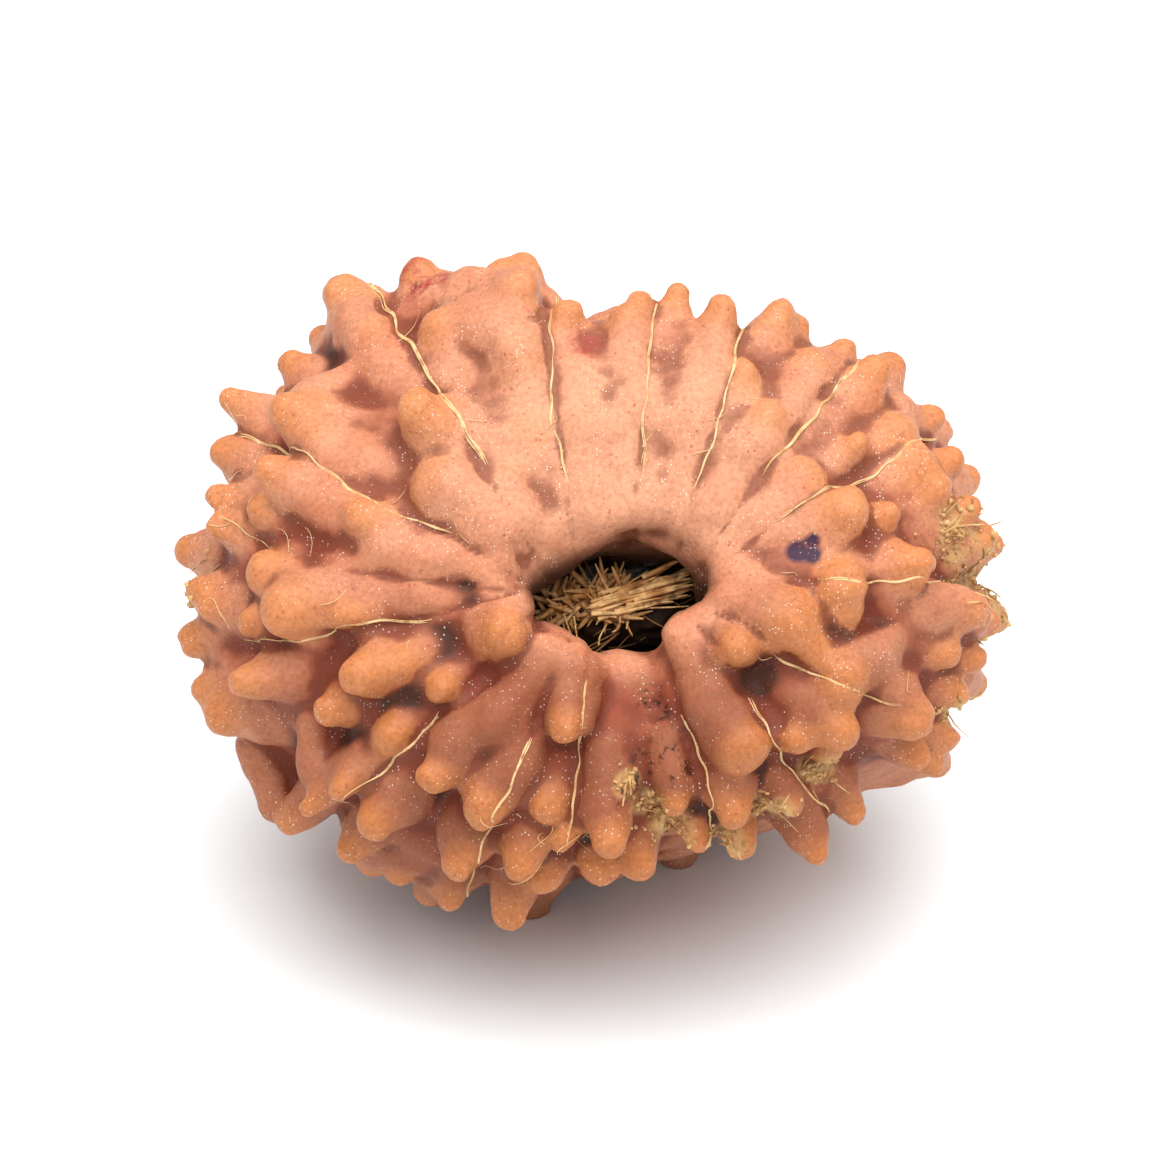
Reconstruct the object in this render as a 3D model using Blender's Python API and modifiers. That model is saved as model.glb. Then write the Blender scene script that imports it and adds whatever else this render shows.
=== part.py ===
"""A sixteen-faced rudraksha seed: a knobbly woody cushion, with dried fibre left in the narrow hole through it.

The body is described as a ring: an oval crest runs round the hole, the surface falls away to the outer edge, and
it falls steeply into the hole. The seed rests leaning towards -Y, on the worn tips of four knobs. Each knob is a
tapered finger that stands on the ring. The place of its tip is (azimuth, section angle) in degrees: azimuth runs
round the ring from +X towards +Y, and the section angle runs over the crest, 0 at the outer edge, 90 on the
crest, 180 in the hole and less than 0 underneath.
"""

import math
import random

import bmesh
import bpy
import numpy as np
from mathutils import Matrix, Vector

MM = 0.001

# Driving dimensions of the ring, before its knobs. The hole and the crest round it lie a little right and front.
CREST_LONG = 6.6 * MM
CREST_SHORT = 4.6 * MM
HOLE_RIGHT = 1.0 * MM
HOLE_FRONT = 1.3 * MM
CREST_TO_EDGE_ENDS = 8.5 * MM
CREST_TO_EDGE_SIDES = 7.4 * MM
CREST_TO_HOLE_ENDS = 2.3 * MM
CREST_TO_HOLE_SIDES = 2.75 * MM
HALF_HEIGHT = 9.5 * MM
RIM_SQUARENESS = 4.5
RING_SEGMENTS, SECTION_SEGMENTS = 180, 72

# How it rests: the top leans towards -Y, and the worn tips of its feet lie on the ground.
LEAN = math.radians(48)
CENTRE_ABOVE_GROUND = 12.9 * MM
WORN_OFF = 0.45 * MM

# Each groove is (azimuth where it crosses the crest, how far it sweeps round by the outer edge), in degrees.
GROOVES = (
    (-1, 8), (28, -2), (44, 1), (63, 4), (83, -1), (108, -8), (133, -4), (159, -3),
    (180, -17), (193, -12), (221, -9), (246, -6), (259, 2), (289, 5), (310, 8), (328, 20),
)
GROOVE_DEPTH = 0.5 * MM
GROOVE_WIDTH = 0.7 * MM
GROOVE_FADES_FROM = 100
GROOVE_FADES_TO = 140

# Between its knobs the body swells at the back, and sinks along the front edge, more so right of its middle, and
# along the middle of the back edge.
SWELL_BACK = 0.6 * MM
SWELL_FRONT = 0.1 * MM
FRONT_EDGE_SINKS = 0.7 * MM
RIGHT_EDGE_SINKS = 1.6 * MM
BACK_EDGE_SINKS = 1.3 * MM

# How far a knob stands out of the ring, by kind.
LONGEST, LONG, MIDDLE, SHORT = 3.3 * MM, 2.7 * MM, 1.9 * MM, 1.0 * MM

# A knob's root lies nearer the hole than its tip, by this many degrees of section angle where it states no other.
USUAL_SWEEP = 10

# Knobs by face, counted from the face right of the hole: (azimuth, section angle, how far it stands, width in mm),
# then the sweep in degrees, and how far aside the root lies, where they aren't the usual.
FACE_KNOBS = (
    ((0, 79, LONG, 2.1, 9, 4), (4, 60, LONG, 2.0, 14), (10, 30, MIDDLE, 1.8), (14, 36, MIDDLE, 1.4),
     (16, 63, MIDDLE, 1.2), (18, 45, MIDDLE, 1.8), (20, 74, LONG, 2.2, 18), (22, 35, MIDDLE, 1.4),
     (23, 48, MIDDLE, 2.1)),
    ((29, 30, MIDDLE, 1.5), (30, 47, MIDDLE, 1.8), (32, 61, MIDDLE, 1.1), (32, 113, SHORT, 1.6),
     (34, 77, MIDDLE, 1.6, 20), (40, 43, LONG, 1.5), (40, 51, SHORT, 1.4)),
    ((47, 37, MIDDLE, 1.4), (50, 50, MIDDLE, 1.4), (51, 70, MIDDLE, 1.5, 14), (51, 81, SHORT, 1.6),
     (56, 95, SHORT, 1.4), (60, 43, LONG, 1.5, 12), (56, 40, MIDDLE, 1.2), (62, 62, MIDDLE, 1.5, 14)),
    ((70, 49, LONG, 1.4, 14), (74, 60, SHORT, 1.0), (79, 42, MIDDLE, 1.2, 14)),
    ((86, 46, MIDDLE, 1.5, 14), (89, 52, MIDDLE, 1.4, 14), (100, 51, MIDDLE, 1.4, 14)),
    ((106, 24, MIDDLE, 1.2), (108, 45, LONG, 1.8, 10, 6), (110, 26, MIDDLE, 1.4), (112, 60, MIDDLE, 1.8, 12, 4),
     (115, 79, SHORT, 2.0, 14), (119, 26, MIDDLE, 1.6), (123, 23, LONG, 2.0), (124, 44, MIDDLE, 2.0),
     (127, 86, SHORT, 2.0, 14)),
    ((133, 16, LONGEST, 2.3), (134, 35, MIDDLE, 1.5), (137, 66, LONG, 2.1, 12, -4), (145, 19, MIDDLE, 1.5),
     (146, 81, MIDDLE, 2.4, 18, -6), (150, 45, MIDDLE, 1.6), (153, 44, LONG, 1.8), (154, 54, MIDDLE, 1.4),
     (154, 19, LONG, 1.4)),
    ((160, 23, MIDDLE, 1.6), (162, 49, LONG, 1.6, 20), (164, 71, MIDDLE, 1.8, 18), (164, 88, SHORT, 1.6),
     (164, 105, SHORT, 1.6), (166, 30, MIDDLE, 1.5), (167, 46, MIDDLE, 1.6)),
    ((170, 34, MIDDLE, 1.6), (176, 50, MIDDLE, 2.1), (178, 28, MIDDLE, 1.8), (180, 32, MIDDLE, 1.5),
     (181, 82, SHORT, 1.8), (183, 20, MIDDLE, 2.0), (184, 45, MIDDLE, 1.4), (184, 57, LONG, 2.4, 16, -5),
     (187, 69, MIDDLE, 1.6)),
    ((189, 20, MIDDLE, 1.4), (192, 42, LONG, 1.6), (193, 22, MIDDLE, 2.3), (200, 67, LONG, 2.0),
     (202, 75, MIDDLE, 2.0), (202, 55, MIDDLE, 1.8), (210, 17, MIDDLE, 1.4, 14), (212, 35, LONG, 1.2, 18),
     (214, 61, MIDDLE, 2.0), (214, 46, LONG, 1.2, 14), (215, 78, MIDDLE, 1.6), (219, 93, LONG, 2.1, 20, -8)),
    ((220, 24, MIDDLE, 1.5), (222, 42, LONG, 1.8, 14), (227, 60, LONG, 1.6, 16, 4), (239, 40, LONG, 1.8, 12),
     (239, 19, MIDDLE, 1.4), (240, 57, LONG, 2.1, 14), (222, 4, SHORT, 1.7), (228, 12, SHORT, 1.9),
     (233, -8, SHORT, 1.8), (236, 8, SHORT, 1.9)),
    ((250, 43, LONG, 1.7, 14), (250, 24, LONG, 1.8, 14), (253, 59, MIDDLE, 1.8), (255, 81, LONG, 1.4, 20),
     (255, 35, MIDDLE, 1.7), (258, 50, MIDDLE, 1.4)),
    ((266, 39, MIDDLE, 1.8), (268, 52, LONG, 1.7, 18), (274, 41, MIDDLE, 1.6), (283, 59, MIDDLE, 1.4, 16),
     (287, 46, MIDDLE, 1.4)),
    ((296, 41, MIDDLE, 1.7), (296, 55, LONG, 1.8, 14), (303, 71, LONG, 2.4, 22, -2), (308, 48, MIDDLE, 1.2),
     (309, 33, LONG, 1.4, 14)),
    ((316, 91, LONG, 1.8, 20, 6), (316, 65, MIDDLE, 1.8), (319, 32, MIDDLE, 1.4), (322, 54, SHORT, 1.6),
     (325, 61, LONG, 2.0, 20)),
    ((334, 34, MIDDLE, 1.2), (335, 25, MIDDLE, 1.1), (338, 47, LONG, 2.2, 12, 2), (340, 27, MIDDLE, 1.4),
     (341, 90, LONG, 2.8, 24, 14), (346, 33, MIDDLE, 1.4), (351, 44, MIDDLE, 1.6), (352, 32, MIDDLE, 1.4),
     (352, 77, MIDDLE, 1.8), (358, 28, MIDDLE, 1.4), (358, 43, LONG, 1.5, 14), (335, 69, LONG, 2.3, 12, 6),
     (338, 81, MIDDLE, 1.7)),
)
WIDTH_SHARE = 1.16
ROOT_SHARE_FRONT, ROOT_SHARE_BACK = 1.65, 2.2
ROOT_SINKS = 0.55
TIP_SHARE = 0.66
FINGER_SEGMENTS, FINGER_RINGS = 14, 12

# Tips of knobs wider than this, in mm, are blunter by this share for each mm more.
BLUNTER_FROM, BLUNTER = 2.0, 0.25

# The knobs that carry it: (azimuth, section angle, width in mm). They point straight down to the ground.
FEET = ((250, -35, 2.1), (287, -60, 1.9), (230, -82, 2.4), (294, -87, 2.4))
FOOT_ROOT_SHARE, FOOT_TIP_SHARE = 0.55, 0.42

# Knobs where they follow a rule: rows round the outer edge and the underside, two to a face. No row stands between
# two azimuths of ROWS_SKIP above its section angle, because the listed knobs fill those places.
ROW_ANGLES = (10, -10, -30, -50, -72, -96, -124)
ROWS_SKIP = ((45, 112, -20), (185, 352, -20), (262, 335, -60))
ROW_SHARES = (0.28, 0.74)
ROW_JITTER = 5
ROW_SEED = 16
ROW_STANDS = (1.3, 2.3)
ROW_WIDTHS = (1.4, 2.1)
CLEAR_OF_LISTED = 2.3 * MM
CLEAR_OF_GROUND = 0.4 * MM

VOXEL = 0.36 * MM
SMOOTHING = 0.5
SMOOTHING_PASSES = 3
STONE_TRIANGLES = 9600

# The dried fibre in the hole: a flat frayed tuft that stands clear of the hole's walls.
FIBRE_LENGTH = 6.6 * MM
FIBRE_WIDTH = 2.3 * MM
FIBRE_HEIGHT = 6.4 * MM
FIBRE_UP = 2.4 * MM
FIBRE_RAGGED = 0.1 * MM
FIBRE_SEGMENTS, FIBRE_RINGS = 40, 20
FIBRE_SEED = 5

# Colour and roughness of the shell and of the fibre.
SHELL_COLOUR, SHELL_ROUGHNESS = (0.56, 0.27, 0.16), 0.42
FIBRE_COLOUR, FIBRE_ROUGHNESS = (0.42, 0.24, 0.09), 0.9


def outward_from_crest(azimuth):
    """The level direction away from the crest and the hole at this azimuth in radians."""
    return Vector((CREST_SHORT * math.cos(azimuth), CREST_LONG * math.sin(azimuth), 0)).normalized()


def crest_to_edge(azimuth):
    """How far the outer edge lies from the crest. The crest is off centre, and the edge isn't."""
    outward = outward_from_crest(azimuth)
    plain = CREST_TO_EDGE_SIDES + (CREST_TO_EDGE_ENDS - CREST_TO_EDGE_SIDES) * math.cos(azimuth) ** 2
    return plain - HOLE_RIGHT * outward.x + HOLE_FRONT * outward.y


def ring_point(azimuth, section, lift=0.0):
    """The point of the smooth ring at these angles in radians, raised by lift, before it leans."""
    level, upright = math.cos(section), math.sin(section)
    reach = crest_to_edge(azimuth) + lift
    if level < 0:
        level = -((-level) ** (2 / RIM_SQUARENESS))
        upright = math.copysign(abs(upright) ** (2 / RIM_SQUARENESS), upright)
        share = math.cos(azimuth) ** 2
        reach = CREST_TO_HOLE_SIDES + (CREST_TO_HOLE_ENDS - CREST_TO_HOLE_SIDES) * share + lift
    crest = Vector((HOLE_RIGHT + CREST_LONG * math.cos(azimuth), CREST_SHORT * math.sin(azimuth) - HOLE_FRONT, 0))
    return crest + outward_from_crest(azimuth) * reach * level + Vector((0, 0, (HALF_HEIGHT + lift) * upright))


def place_at(azimuth, section, lift=0.0):
    """The resting place of ring angles in degrees and a lift in metres."""
    upright = ring_point(math.radians(azimuth), math.radians(section), lift)
    return Matrix.Rotation(LEAN, 3, "X") @ upright + Vector((0, 0, CENTRE_ABOVE_GROUND))


def groove_azimuth(groove, section):
    """Where a groove lies, in degrees, at this section angle in degrees. Under the edge it runs straight."""
    crossing, sweep = groove
    return crossing + sweep * (90 - max(min(section, 120), -20)) / 90


def swell(azimuth, section):
    """How far the body stands above the plain ring between its knobs, at these angles in degrees."""
    back = 0.5 + 0.5 * math.sin(math.radians(azimuth))
    front = np.interp(section, (-30, 0, 20, 60), (0, 1, 1, 0)) * (1 - back) ** 2
    right = np.interp(section, (-60, -25, 15, 45), (0, 1, 1, 0))
    right *= np.interp(azimuth % 360, (262, 280, 318, 335), (0, 1, 1, 0))
    behind = np.interp(section, (-40, -10, 25, 50), (0, 1, 1, 0))
    behind *= np.interp(azimuth % 360, (35, 58, 100, 116), (0, 1, 1, 0))
    body = np.interp(section, (15, 60, 95, 130), (0.4, 1, 1, 0))
    swells = (SWELL_FRONT + (SWELL_BACK - SWELL_FRONT) * back) * body
    return swells - FRONT_EDGE_SINKS * front - RIGHT_EDGE_SINKS * right - BACK_EDGE_SINKS * behind


def groove_depth(azimuth, section):
    """How deep the nearest groove cuts at these angles in degrees. It fades out inside the hole."""
    fade = np.interp(abs(section), (GROOVE_FADES_FROM, GROOVE_FADES_TO), (1, 0))
    here = place_at(azimuth, section)
    nearest = min((place_at(groove_azimuth(groove, section), section) - here).length for groove in GROOVES)
    return fade * GROOVE_DEPTH * math.exp(-((nearest / GROOVE_WIDTH) ** 2))


def material(name, colour, roughness):
    made = bpy.data.materials.new(name)
    made.use_nodes = True
    shader = made.node_tree.nodes["Principled BSDF"]
    shader.inputs["Base Color"].default_value = (*colour, 1)
    shader.inputs["Roughness"].default_value = roughness
    shader.inputs["Metallic"].default_value = 0
    return made


def grooved_ring():
    """The ring as one torus whose points are moved to the seed's own section and pressed in along each groove."""
    bpy.ops.mesh.primitive_torus_add(
        major_segments=RING_SEGMENTS,
        minor_segments=SECTION_SEGMENTS,
        major_radius=CREST_LONG,
        minor_radius=CREST_TO_HOLE_ENDS,
    )
    ring = bpy.context.object
    for vertex in ring.data.vertices:
        x, y, z = vertex.co
        azimuth = math.degrees(math.atan2(y, x))
        section = math.degrees(math.atan2(z, math.hypot(x, y) - CREST_LONG))
        vertex.co = place_at(azimuth, section, swell(azimuth, section) - groove_depth(azimuth, section))
    return ring


def add_finger(mesh, root, tip, root_radius, tip_radius):
    """One closed finger: a ball round the root and a ball round the tip, and the cone between them."""
    along = tip - root
    turn = along.to_track_quat("Z", "Y").to_matrix().to_4x4()
    made = bmesh.ops.create_uvsphere(mesh, u_segments=FINGER_SEGMENTS, v_segments=FINGER_RINGS, radius=1)
    for vertex in made["verts"]:
        low = vertex.co.z < 0
        radius = root_radius if low else tip_radius
        vertex.co = vertex.co * radius + Vector((0, 0, 0 if low else along.length))
    bmesh.ops.transform(mesh, matrix=Matrix.Translation(root) @ turn, verts=made["verts"])


def root_share(azimuth):
    """How much wider a knob is at its root than its own width: most at the back."""
    back = 0.5 + 0.5 * math.sin(math.radians(azimuth))
    return ROOT_SHARE_FRONT + (ROOT_SHARE_BACK - ROOT_SHARE_FRONT) * back


def listed_knobs():
    """Every knob of FACE_KNOBS as (root, tip, root radius, tip radius)."""
    knobs = []
    for face in FACE_KNOBS:
        for azimuth, section, stands, width, *rest in face:
            sweep = rest[0] if rest else USUAL_SWEEP
            aside = rest[1] if len(rest) > 1 else 0
            radius = width / 2 * WIDTH_SHARE * MM
            wide = radius * root_share(azimuth)
            root = place_at(azimuth + aside, section + sweep, -ROOT_SINKS * wide)
            tip_radius = radius * (TIP_SHARE + BLUNTER * max(0, width - BLUNTER_FROM))
            tip = place_at(azimuth, section, stands - tip_radius)
            knobs.append((root, tip, wide, tip_radius))
    return knobs


def foot_knobs():
    """The knobs that reach the ground, as (root, tip, root radius, tip radius)."""
    knobs = []
    for azimuth, section, width in FEET:
        root = place_at(azimuth, section)
        tip_radius = width * FOOT_TIP_SHARE * MM
        tip = Vector((root.x, root.y, tip_radius - WORN_OFF))
        knobs.append((root, tip, width * FOOT_ROOT_SHARE * MM, tip_radius))
    return knobs


def row_knobs(taken):
    """Knobs in rows round the outer edge and underneath, where none of the taken knobs stands."""
    draw = random.Random(ROW_SEED)
    tips = [tip for _, tip, *_ in taken]
    knobs = []
    for row, section in enumerate(ROW_ANGLES):
        for number in range(2 * len(GROOVES)):
            face = number // 2
            start = groove_azimuth(GROOVES[face], section)
            wide = (groove_azimuth(GROOVES[(face + 1) % len(GROOVES)], section) - start) % 360
            share = ROW_SHARES[(number + row) % 2]
            azimuth = start + wide * share + draw.uniform(-ROW_JITTER, ROW_JITTER) / 2
            angle = section + draw.uniform(-ROW_JITTER, ROW_JITTER)
            stands = draw.uniform(*ROW_STANDS) * MM
            radius = draw.uniform(*ROW_WIDTHS) * MM / 2
            tip = place_at(azimuth, angle, stands - radius)
            skipped = any(low < azimuth % 360 < high and section > down for low, high, down in ROWS_SKIP)
            if skipped or tip.z < radius + CLEAR_OF_GROUND:
                continue
            if min((tip - other).length for other in tips) < CLEAR_OF_LISTED:
                continue
            tips.append(tip)
            wide = root_share(azimuth) * radius
            root = place_at(azimuth, angle + USUAL_SWEEP, -ROOT_SINKS * wide)
            knobs.append((root, tip, wide, TIP_SHARE * radius))
    return knobs


def apply_modifiers(thing):
    """Replaces the object's mesh with what its modifiers make of it."""
    graph = bpy.context.evaluated_depsgraph_get()
    mesh = bpy.data.meshes.new_from_object(thing.evaluated_get(graph))
    thing.modifiers.clear()
    thing.data = mesh


def wear_feet(thing):
    """Cuts the tips below the ground off flat, as wear leaves them."""
    mesh = bmesh.new()
    mesh.from_mesh(thing.data)
    everything = mesh.verts[:] + mesh.edges[:] + mesh.faces[:]
    cut = bmesh.ops.bisect_plane(mesh, geom=everything, plane_co=(0, 0, 0), plane_no=(0, 0, 1), clear_inner=True)
    rims = [edge for edge in cut["geom_cut"] if isinstance(edge, bmesh.types.BMEdge)]
    bmesh.ops.holes_fill(mesh, edges=rims, sides=0)
    bmesh.ops.triangulate(mesh, faces=mesh.faces[:])
    bmesh.ops.recalc_face_normals(mesh, faces=mesh.faces[:])
    mesh.to_mesh(thing.data)
    mesh.free()


def seed_stone():
    """The ring and all its knobs, grown together into one solid."""
    stone = grooved_ring()
    stone.name = "seed_stone"
    knobs = listed_knobs() + foot_knobs()
    knobs += row_knobs(knobs)
    mesh = bmesh.new()
    mesh.from_mesh(stone.data)
    for knob in knobs:
        add_finger(mesh, *knob)
    mesh.to_mesh(stone.data)
    mesh.free()
    remesh = stone.modifiers.new("grow_together", "REMESH")
    remesh.mode = "VOXEL"
    remesh.voxel_size = VOXEL
    smooth = stone.modifiers.new("soften", "SMOOTH")
    smooth.factor = SMOOTHING
    smooth.iterations = SMOOTHING_PASSES
    apply_modifiers(stone)
    lighten = stone.modifiers.new("lighten", "DECIMATE")
    stone.data.calc_loop_triangles()
    lighten.ratio = STONE_TRIANGLES / len(stone.data.loop_triangles)
    lighten.use_collapse_triangulate = True
    apply_modifiers(stone)
    wear_feet(stone)
    stone.data.materials.clear()
    stone.data.materials.append(material("seed_shell", SHELL_COLOUR, SHELL_ROUGHNESS))
    stone.data.shade_smooth()
    return stone


def channel_fibre():
    """The dried strands left in the centre hole, as one ragged tuft."""
    bpy.ops.mesh.primitive_uv_sphere_add(segments=FIBRE_SEGMENTS, ring_count=FIBRE_RINGS, radius=1)
    fibre = bpy.context.object
    fibre.name = "channel_fibre"
    draw = random.Random(FIBRE_SEED)
    half = Vector((FIBRE_LENGTH / 2, FIBRE_WIDTH / 2, FIBRE_HEIGHT / 2))
    in_hole = Vector((HOLE_RIGHT, -HOLE_FRONT, FIBRE_UP))
    for vertex in fibre.data.vertices:
        ragged = 1 + draw.uniform(-1, 1) * FIBRE_RAGGED / half.y
        point = in_hole + Vector(tuple(vertex.co[i] * half[i] * ragged for i in range(3)))
        vertex.co = Matrix.Rotation(LEAN, 3, "X") @ point + Vector((0, 0, CENTRE_ABOVE_GROUND))
    fibre.data.materials.append(material("dry_fibre", FIBRE_COLOUR, FIBRE_ROUGHNESS))
    return fibre


def centre_over_origin(pieces):
    """Moves the pieces together, so that the origin lies under the middle of the whole seed."""
    points = [vertex.co for piece in pieces for vertex in piece.data.vertices]
    middle = Vector([(min(p[i] for p in points) + max(p[i] for p in points)) / 2 for i in (0, 1)] + [0])
    print("moved over the origin by", [round(-value / MM, 3) for value in middle])
    for piece in pieces:
        piece.data.transform(Matrix.Translation(-middle))


def main():
    for thing in list(bpy.data.objects):
        bpy.data.objects.remove(thing)
    seed = bpy.data.collections.new("rudraksha_seed")
    bpy.context.scene.collection.children.link(seed)
    pieces = [seed_stone(), channel_fibre()]
    centre_over_origin(pieces)
    for piece in pieces:
        for holder in list(piece.users_collection):
            holder.objects.unlink(piece)
        seed.objects.link(piece)


main()
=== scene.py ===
# %% [markdown]
# # A rudraksha seed
#
# This lesson builds the looks of a large rudraksha seed: a knobbly oval ring, grown as one woody
# piece, with sixteen faces between sixteen grooves. A thin dried strand lies in each groove, and the
# centre hole still holds its dried fibre. The plain model of the seed comes first, as a frame that
# every piece has to fit.

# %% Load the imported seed
import math
import random

import bpy
import numpy as np
from mathutils import Matrix, Vector, noise
from mathutils.bvhtree import BVHTree


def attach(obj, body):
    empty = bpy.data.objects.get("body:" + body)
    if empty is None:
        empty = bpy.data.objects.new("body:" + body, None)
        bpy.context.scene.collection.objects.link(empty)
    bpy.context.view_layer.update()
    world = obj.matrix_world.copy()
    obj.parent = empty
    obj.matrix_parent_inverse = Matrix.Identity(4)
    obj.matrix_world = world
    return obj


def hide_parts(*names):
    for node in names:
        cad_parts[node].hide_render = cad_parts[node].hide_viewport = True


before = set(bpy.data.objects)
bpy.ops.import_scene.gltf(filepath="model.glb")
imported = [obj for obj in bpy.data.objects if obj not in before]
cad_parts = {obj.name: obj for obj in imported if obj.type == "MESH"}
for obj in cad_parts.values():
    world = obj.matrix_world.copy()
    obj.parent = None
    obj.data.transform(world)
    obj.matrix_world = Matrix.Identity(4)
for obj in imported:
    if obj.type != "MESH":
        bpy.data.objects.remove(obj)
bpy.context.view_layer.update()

MM = 0.001
print("nodes to stand for:", sorted(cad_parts))

# %% [markdown]
# ## The camera
#
# The photograph looks down on the seed from the front, at 32 degrees, through a long lens. A long lens
# far away keeps the near and far sides at nearly one scale, as the photograph does. The aim is a
# little off the seed's centre, because the photograph's is.

# %% Place the camera
SEED_CENTRE = Vector((-0.157, 0.798, 12.9)) * MM
CAMERA_ELEVATION = math.radians(32)
CAMERA_DISTANCE = 220 * MM
CAMERA_LENS = 170
AIM_LEFT = 0.24 * MM
AIM_UP = 0.48 * MM

towards_camera = Vector((0, -math.cos(CAMERA_ELEVATION), math.sin(CAMERA_ELEVATION)))
camera_up = Vector((0, math.sin(CAMERA_ELEVATION), math.cos(CAMERA_ELEVATION)))
aim = SEED_CENTRE + Vector((-AIM_LEFT, 0, 0)) + camera_up * AIM_UP
bpy.ops.object.camera_add(location=aim + towards_camera * CAMERA_DISTANCE)
camera = bpy.context.object
camera.name = "photo_camera"
camera.rotation_euler = towards_camera.to_track_quat("Z", "Y").to_euler()
camera.data.lens = CAMERA_LENS
camera.data.clip_start = 10 * MM
bpy.context.scene.camera = camera
print("camera at", [round(c, 4) for c in camera.location])

# %% [markdown]
# ## The light
#
# The photograph was taken in a light tent: a white floor that burns out to pure white, one broad soft
# light above and a little in front, and enough light from all round to open the shadows. The seed's
# front is darker than its top, and its soft shadow lies close round it. So one large area light hangs
# above, and the world is the tent.

# %% Set the floor and the light
FLOOR_SIDE = 3
FLOOR_WHITE = (0.86, 0.90, 0.915)
KEY_SIZE = 420 * MM
KEY_PLACE = Vector((20, -70, 310)) * MM
KEY_WATTS = 2.35
KEY_COLOUR = (1, 0.99, 0.97)
TENT_COLOUR = (0.96, 0.98, 1)
TENT_STRENGTH = 0.56


def principled(name):
    """A new material and its shader."""
    made = bpy.data.materials.new(name)
    made.use_nodes = True
    return made, made.node_tree.nodes["Principled BSDF"]


bpy.ops.mesh.primitive_plane_add(size=FLOOR_SIDE)
floor = bpy.context.object
floor.name = "floor"
white_paper, shader = principled("white_paper")
shader.inputs["Base Color"].default_value = (*FLOOR_WHITE, 1)
shader.inputs["Roughness"].default_value = 0.9
shader.inputs["Specular IOR Level"].default_value = 0.1
floor.data.materials.append(white_paper)

bpy.ops.object.light_add(type="AREA", location=KEY_PLACE)
key = bpy.context.object
key.name = "key_above"
key.data.size = KEY_SIZE
key.data.energy = KEY_WATTS
key.data.color = KEY_COLOUR
key.rotation_euler = (KEY_PLACE - SEED_CENTRE).to_track_quat("Z", "Y").to_euler()

world = bpy.data.worlds.new("light_tent")
world.use_nodes = True
world.node_tree.nodes["Background"].inputs["Color"].default_value = (*TENT_COLOUR, 1)
world.node_tree.nodes["Background"].inputs["Strength"].default_value = TENT_STRENGTH
bpy.context.scene.world = world
bpy.context.scene.view_settings.view_transform = "Standard"
print("floor and light set")

# %% [markdown]
# ## The body behind the knobs
#
# Under its knobs the seed is a rounded cushion with a narrow hole through it, and it leans towards the
# viewer. It is described as a ring: an oval crest runs round the hole, the surface falls away to the
# outer edge, and it falls steeply into the hole. Two angles name any place on it. The azimuth runs
# round the ring: 0 at the right, 90 at the back. The section angle runs over the crest: 0 at the outer
# edge, 90 on the crest, 180 in the hole, and less than 0 underneath. All sizes are the plain model's.

# %% Describe the ring
CREST_LONG, CREST_SHORT = 6.6 * MM, 4.6 * MM
HOLE_RIGHT, HOLE_FRONT = 1.0 * MM, 1.3 * MM
CREST_TO_EDGE_ENDS, CREST_TO_EDGE_SIDES = 8.5 * MM, 7.4 * MM
CREST_TO_HOLE_ENDS, CREST_TO_HOLE_SIDES = 2.3 * MM, 2.75 * MM
HALF_HEIGHT = 9.5 * MM
RIM_SQUARENESS = 4.5
LEAN = math.radians(48)
LEANING = np.array(Matrix.Rotation(LEAN, 3, "X"))
# A point is read back by steps towards the nearest place on the crest, each held to a safe size.
READING_STEPS = 6
LEAST_BEND = 0.2
LARGEST_TURN = 0.2


def ring_outward(azimuth):
    """The level direction away from the crest and the hole, before the seed leans."""
    outward = np.stack([CREST_SHORT * np.cos(azimuth), CREST_LONG * np.sin(azimuth)], axis=-1)
    return outward / np.linalg.norm(outward, axis=-1, keepdims=True)


def ring_reach(azimuth, inside):
    """How far the ring reaches from its crest: to the outer edge, or inside, to the hole's wall."""
    outward = ring_outward(azimuth)
    moved = HOLE_RIGHT * outward[..., 0] - HOLE_FRONT * outward[..., 1]
    edge = CREST_TO_EDGE_SIDES + (CREST_TO_EDGE_ENDS - CREST_TO_EDGE_SIDES) * np.cos(azimuth) ** 2 - moved
    hole = CREST_TO_HOLE_SIDES + (CREST_TO_HOLE_ENDS - CREST_TO_HOLE_SIDES) * np.cos(azimuth) ** 2
    return np.where(inside, hole, edge)


def ring_point(azimuth, section, lift=0.0):
    """World places of ring angles in radians, raised by lift. Numbers or arrays."""
    outward = ring_outward(azimuth)
    inside = np.cos(section) < 0
    power = np.where(inside, 2 / RIM_SQUARENESS, 1)
    level = np.sign(np.cos(section)) * np.abs(np.cos(section)) ** power
    upright = np.sign(np.sin(section)) * np.abs(np.sin(section)) ** power
    reach = (ring_reach(azimuth, inside) + lift) * level
    x = HOLE_RIGHT + CREST_LONG * np.cos(azimuth) + reach * outward[..., 0]
    y = -HOLE_FRONT + CREST_SHORT * np.sin(azimuth) + reach * outward[..., 1]
    z = (HALF_HEIGHT + lift) * upright
    return np.stack(np.broadcast_arrays(x, y, z), axis=-1) @ LEANING.T + np.array(SEED_CENTRE)


def place_at(azimuth, section, lift=0.0):
    """A world place from angles in degrees and a lift in millimetres."""
    return ring_point(np.radians(azimuth), np.radians(section), lift * MM)


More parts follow.
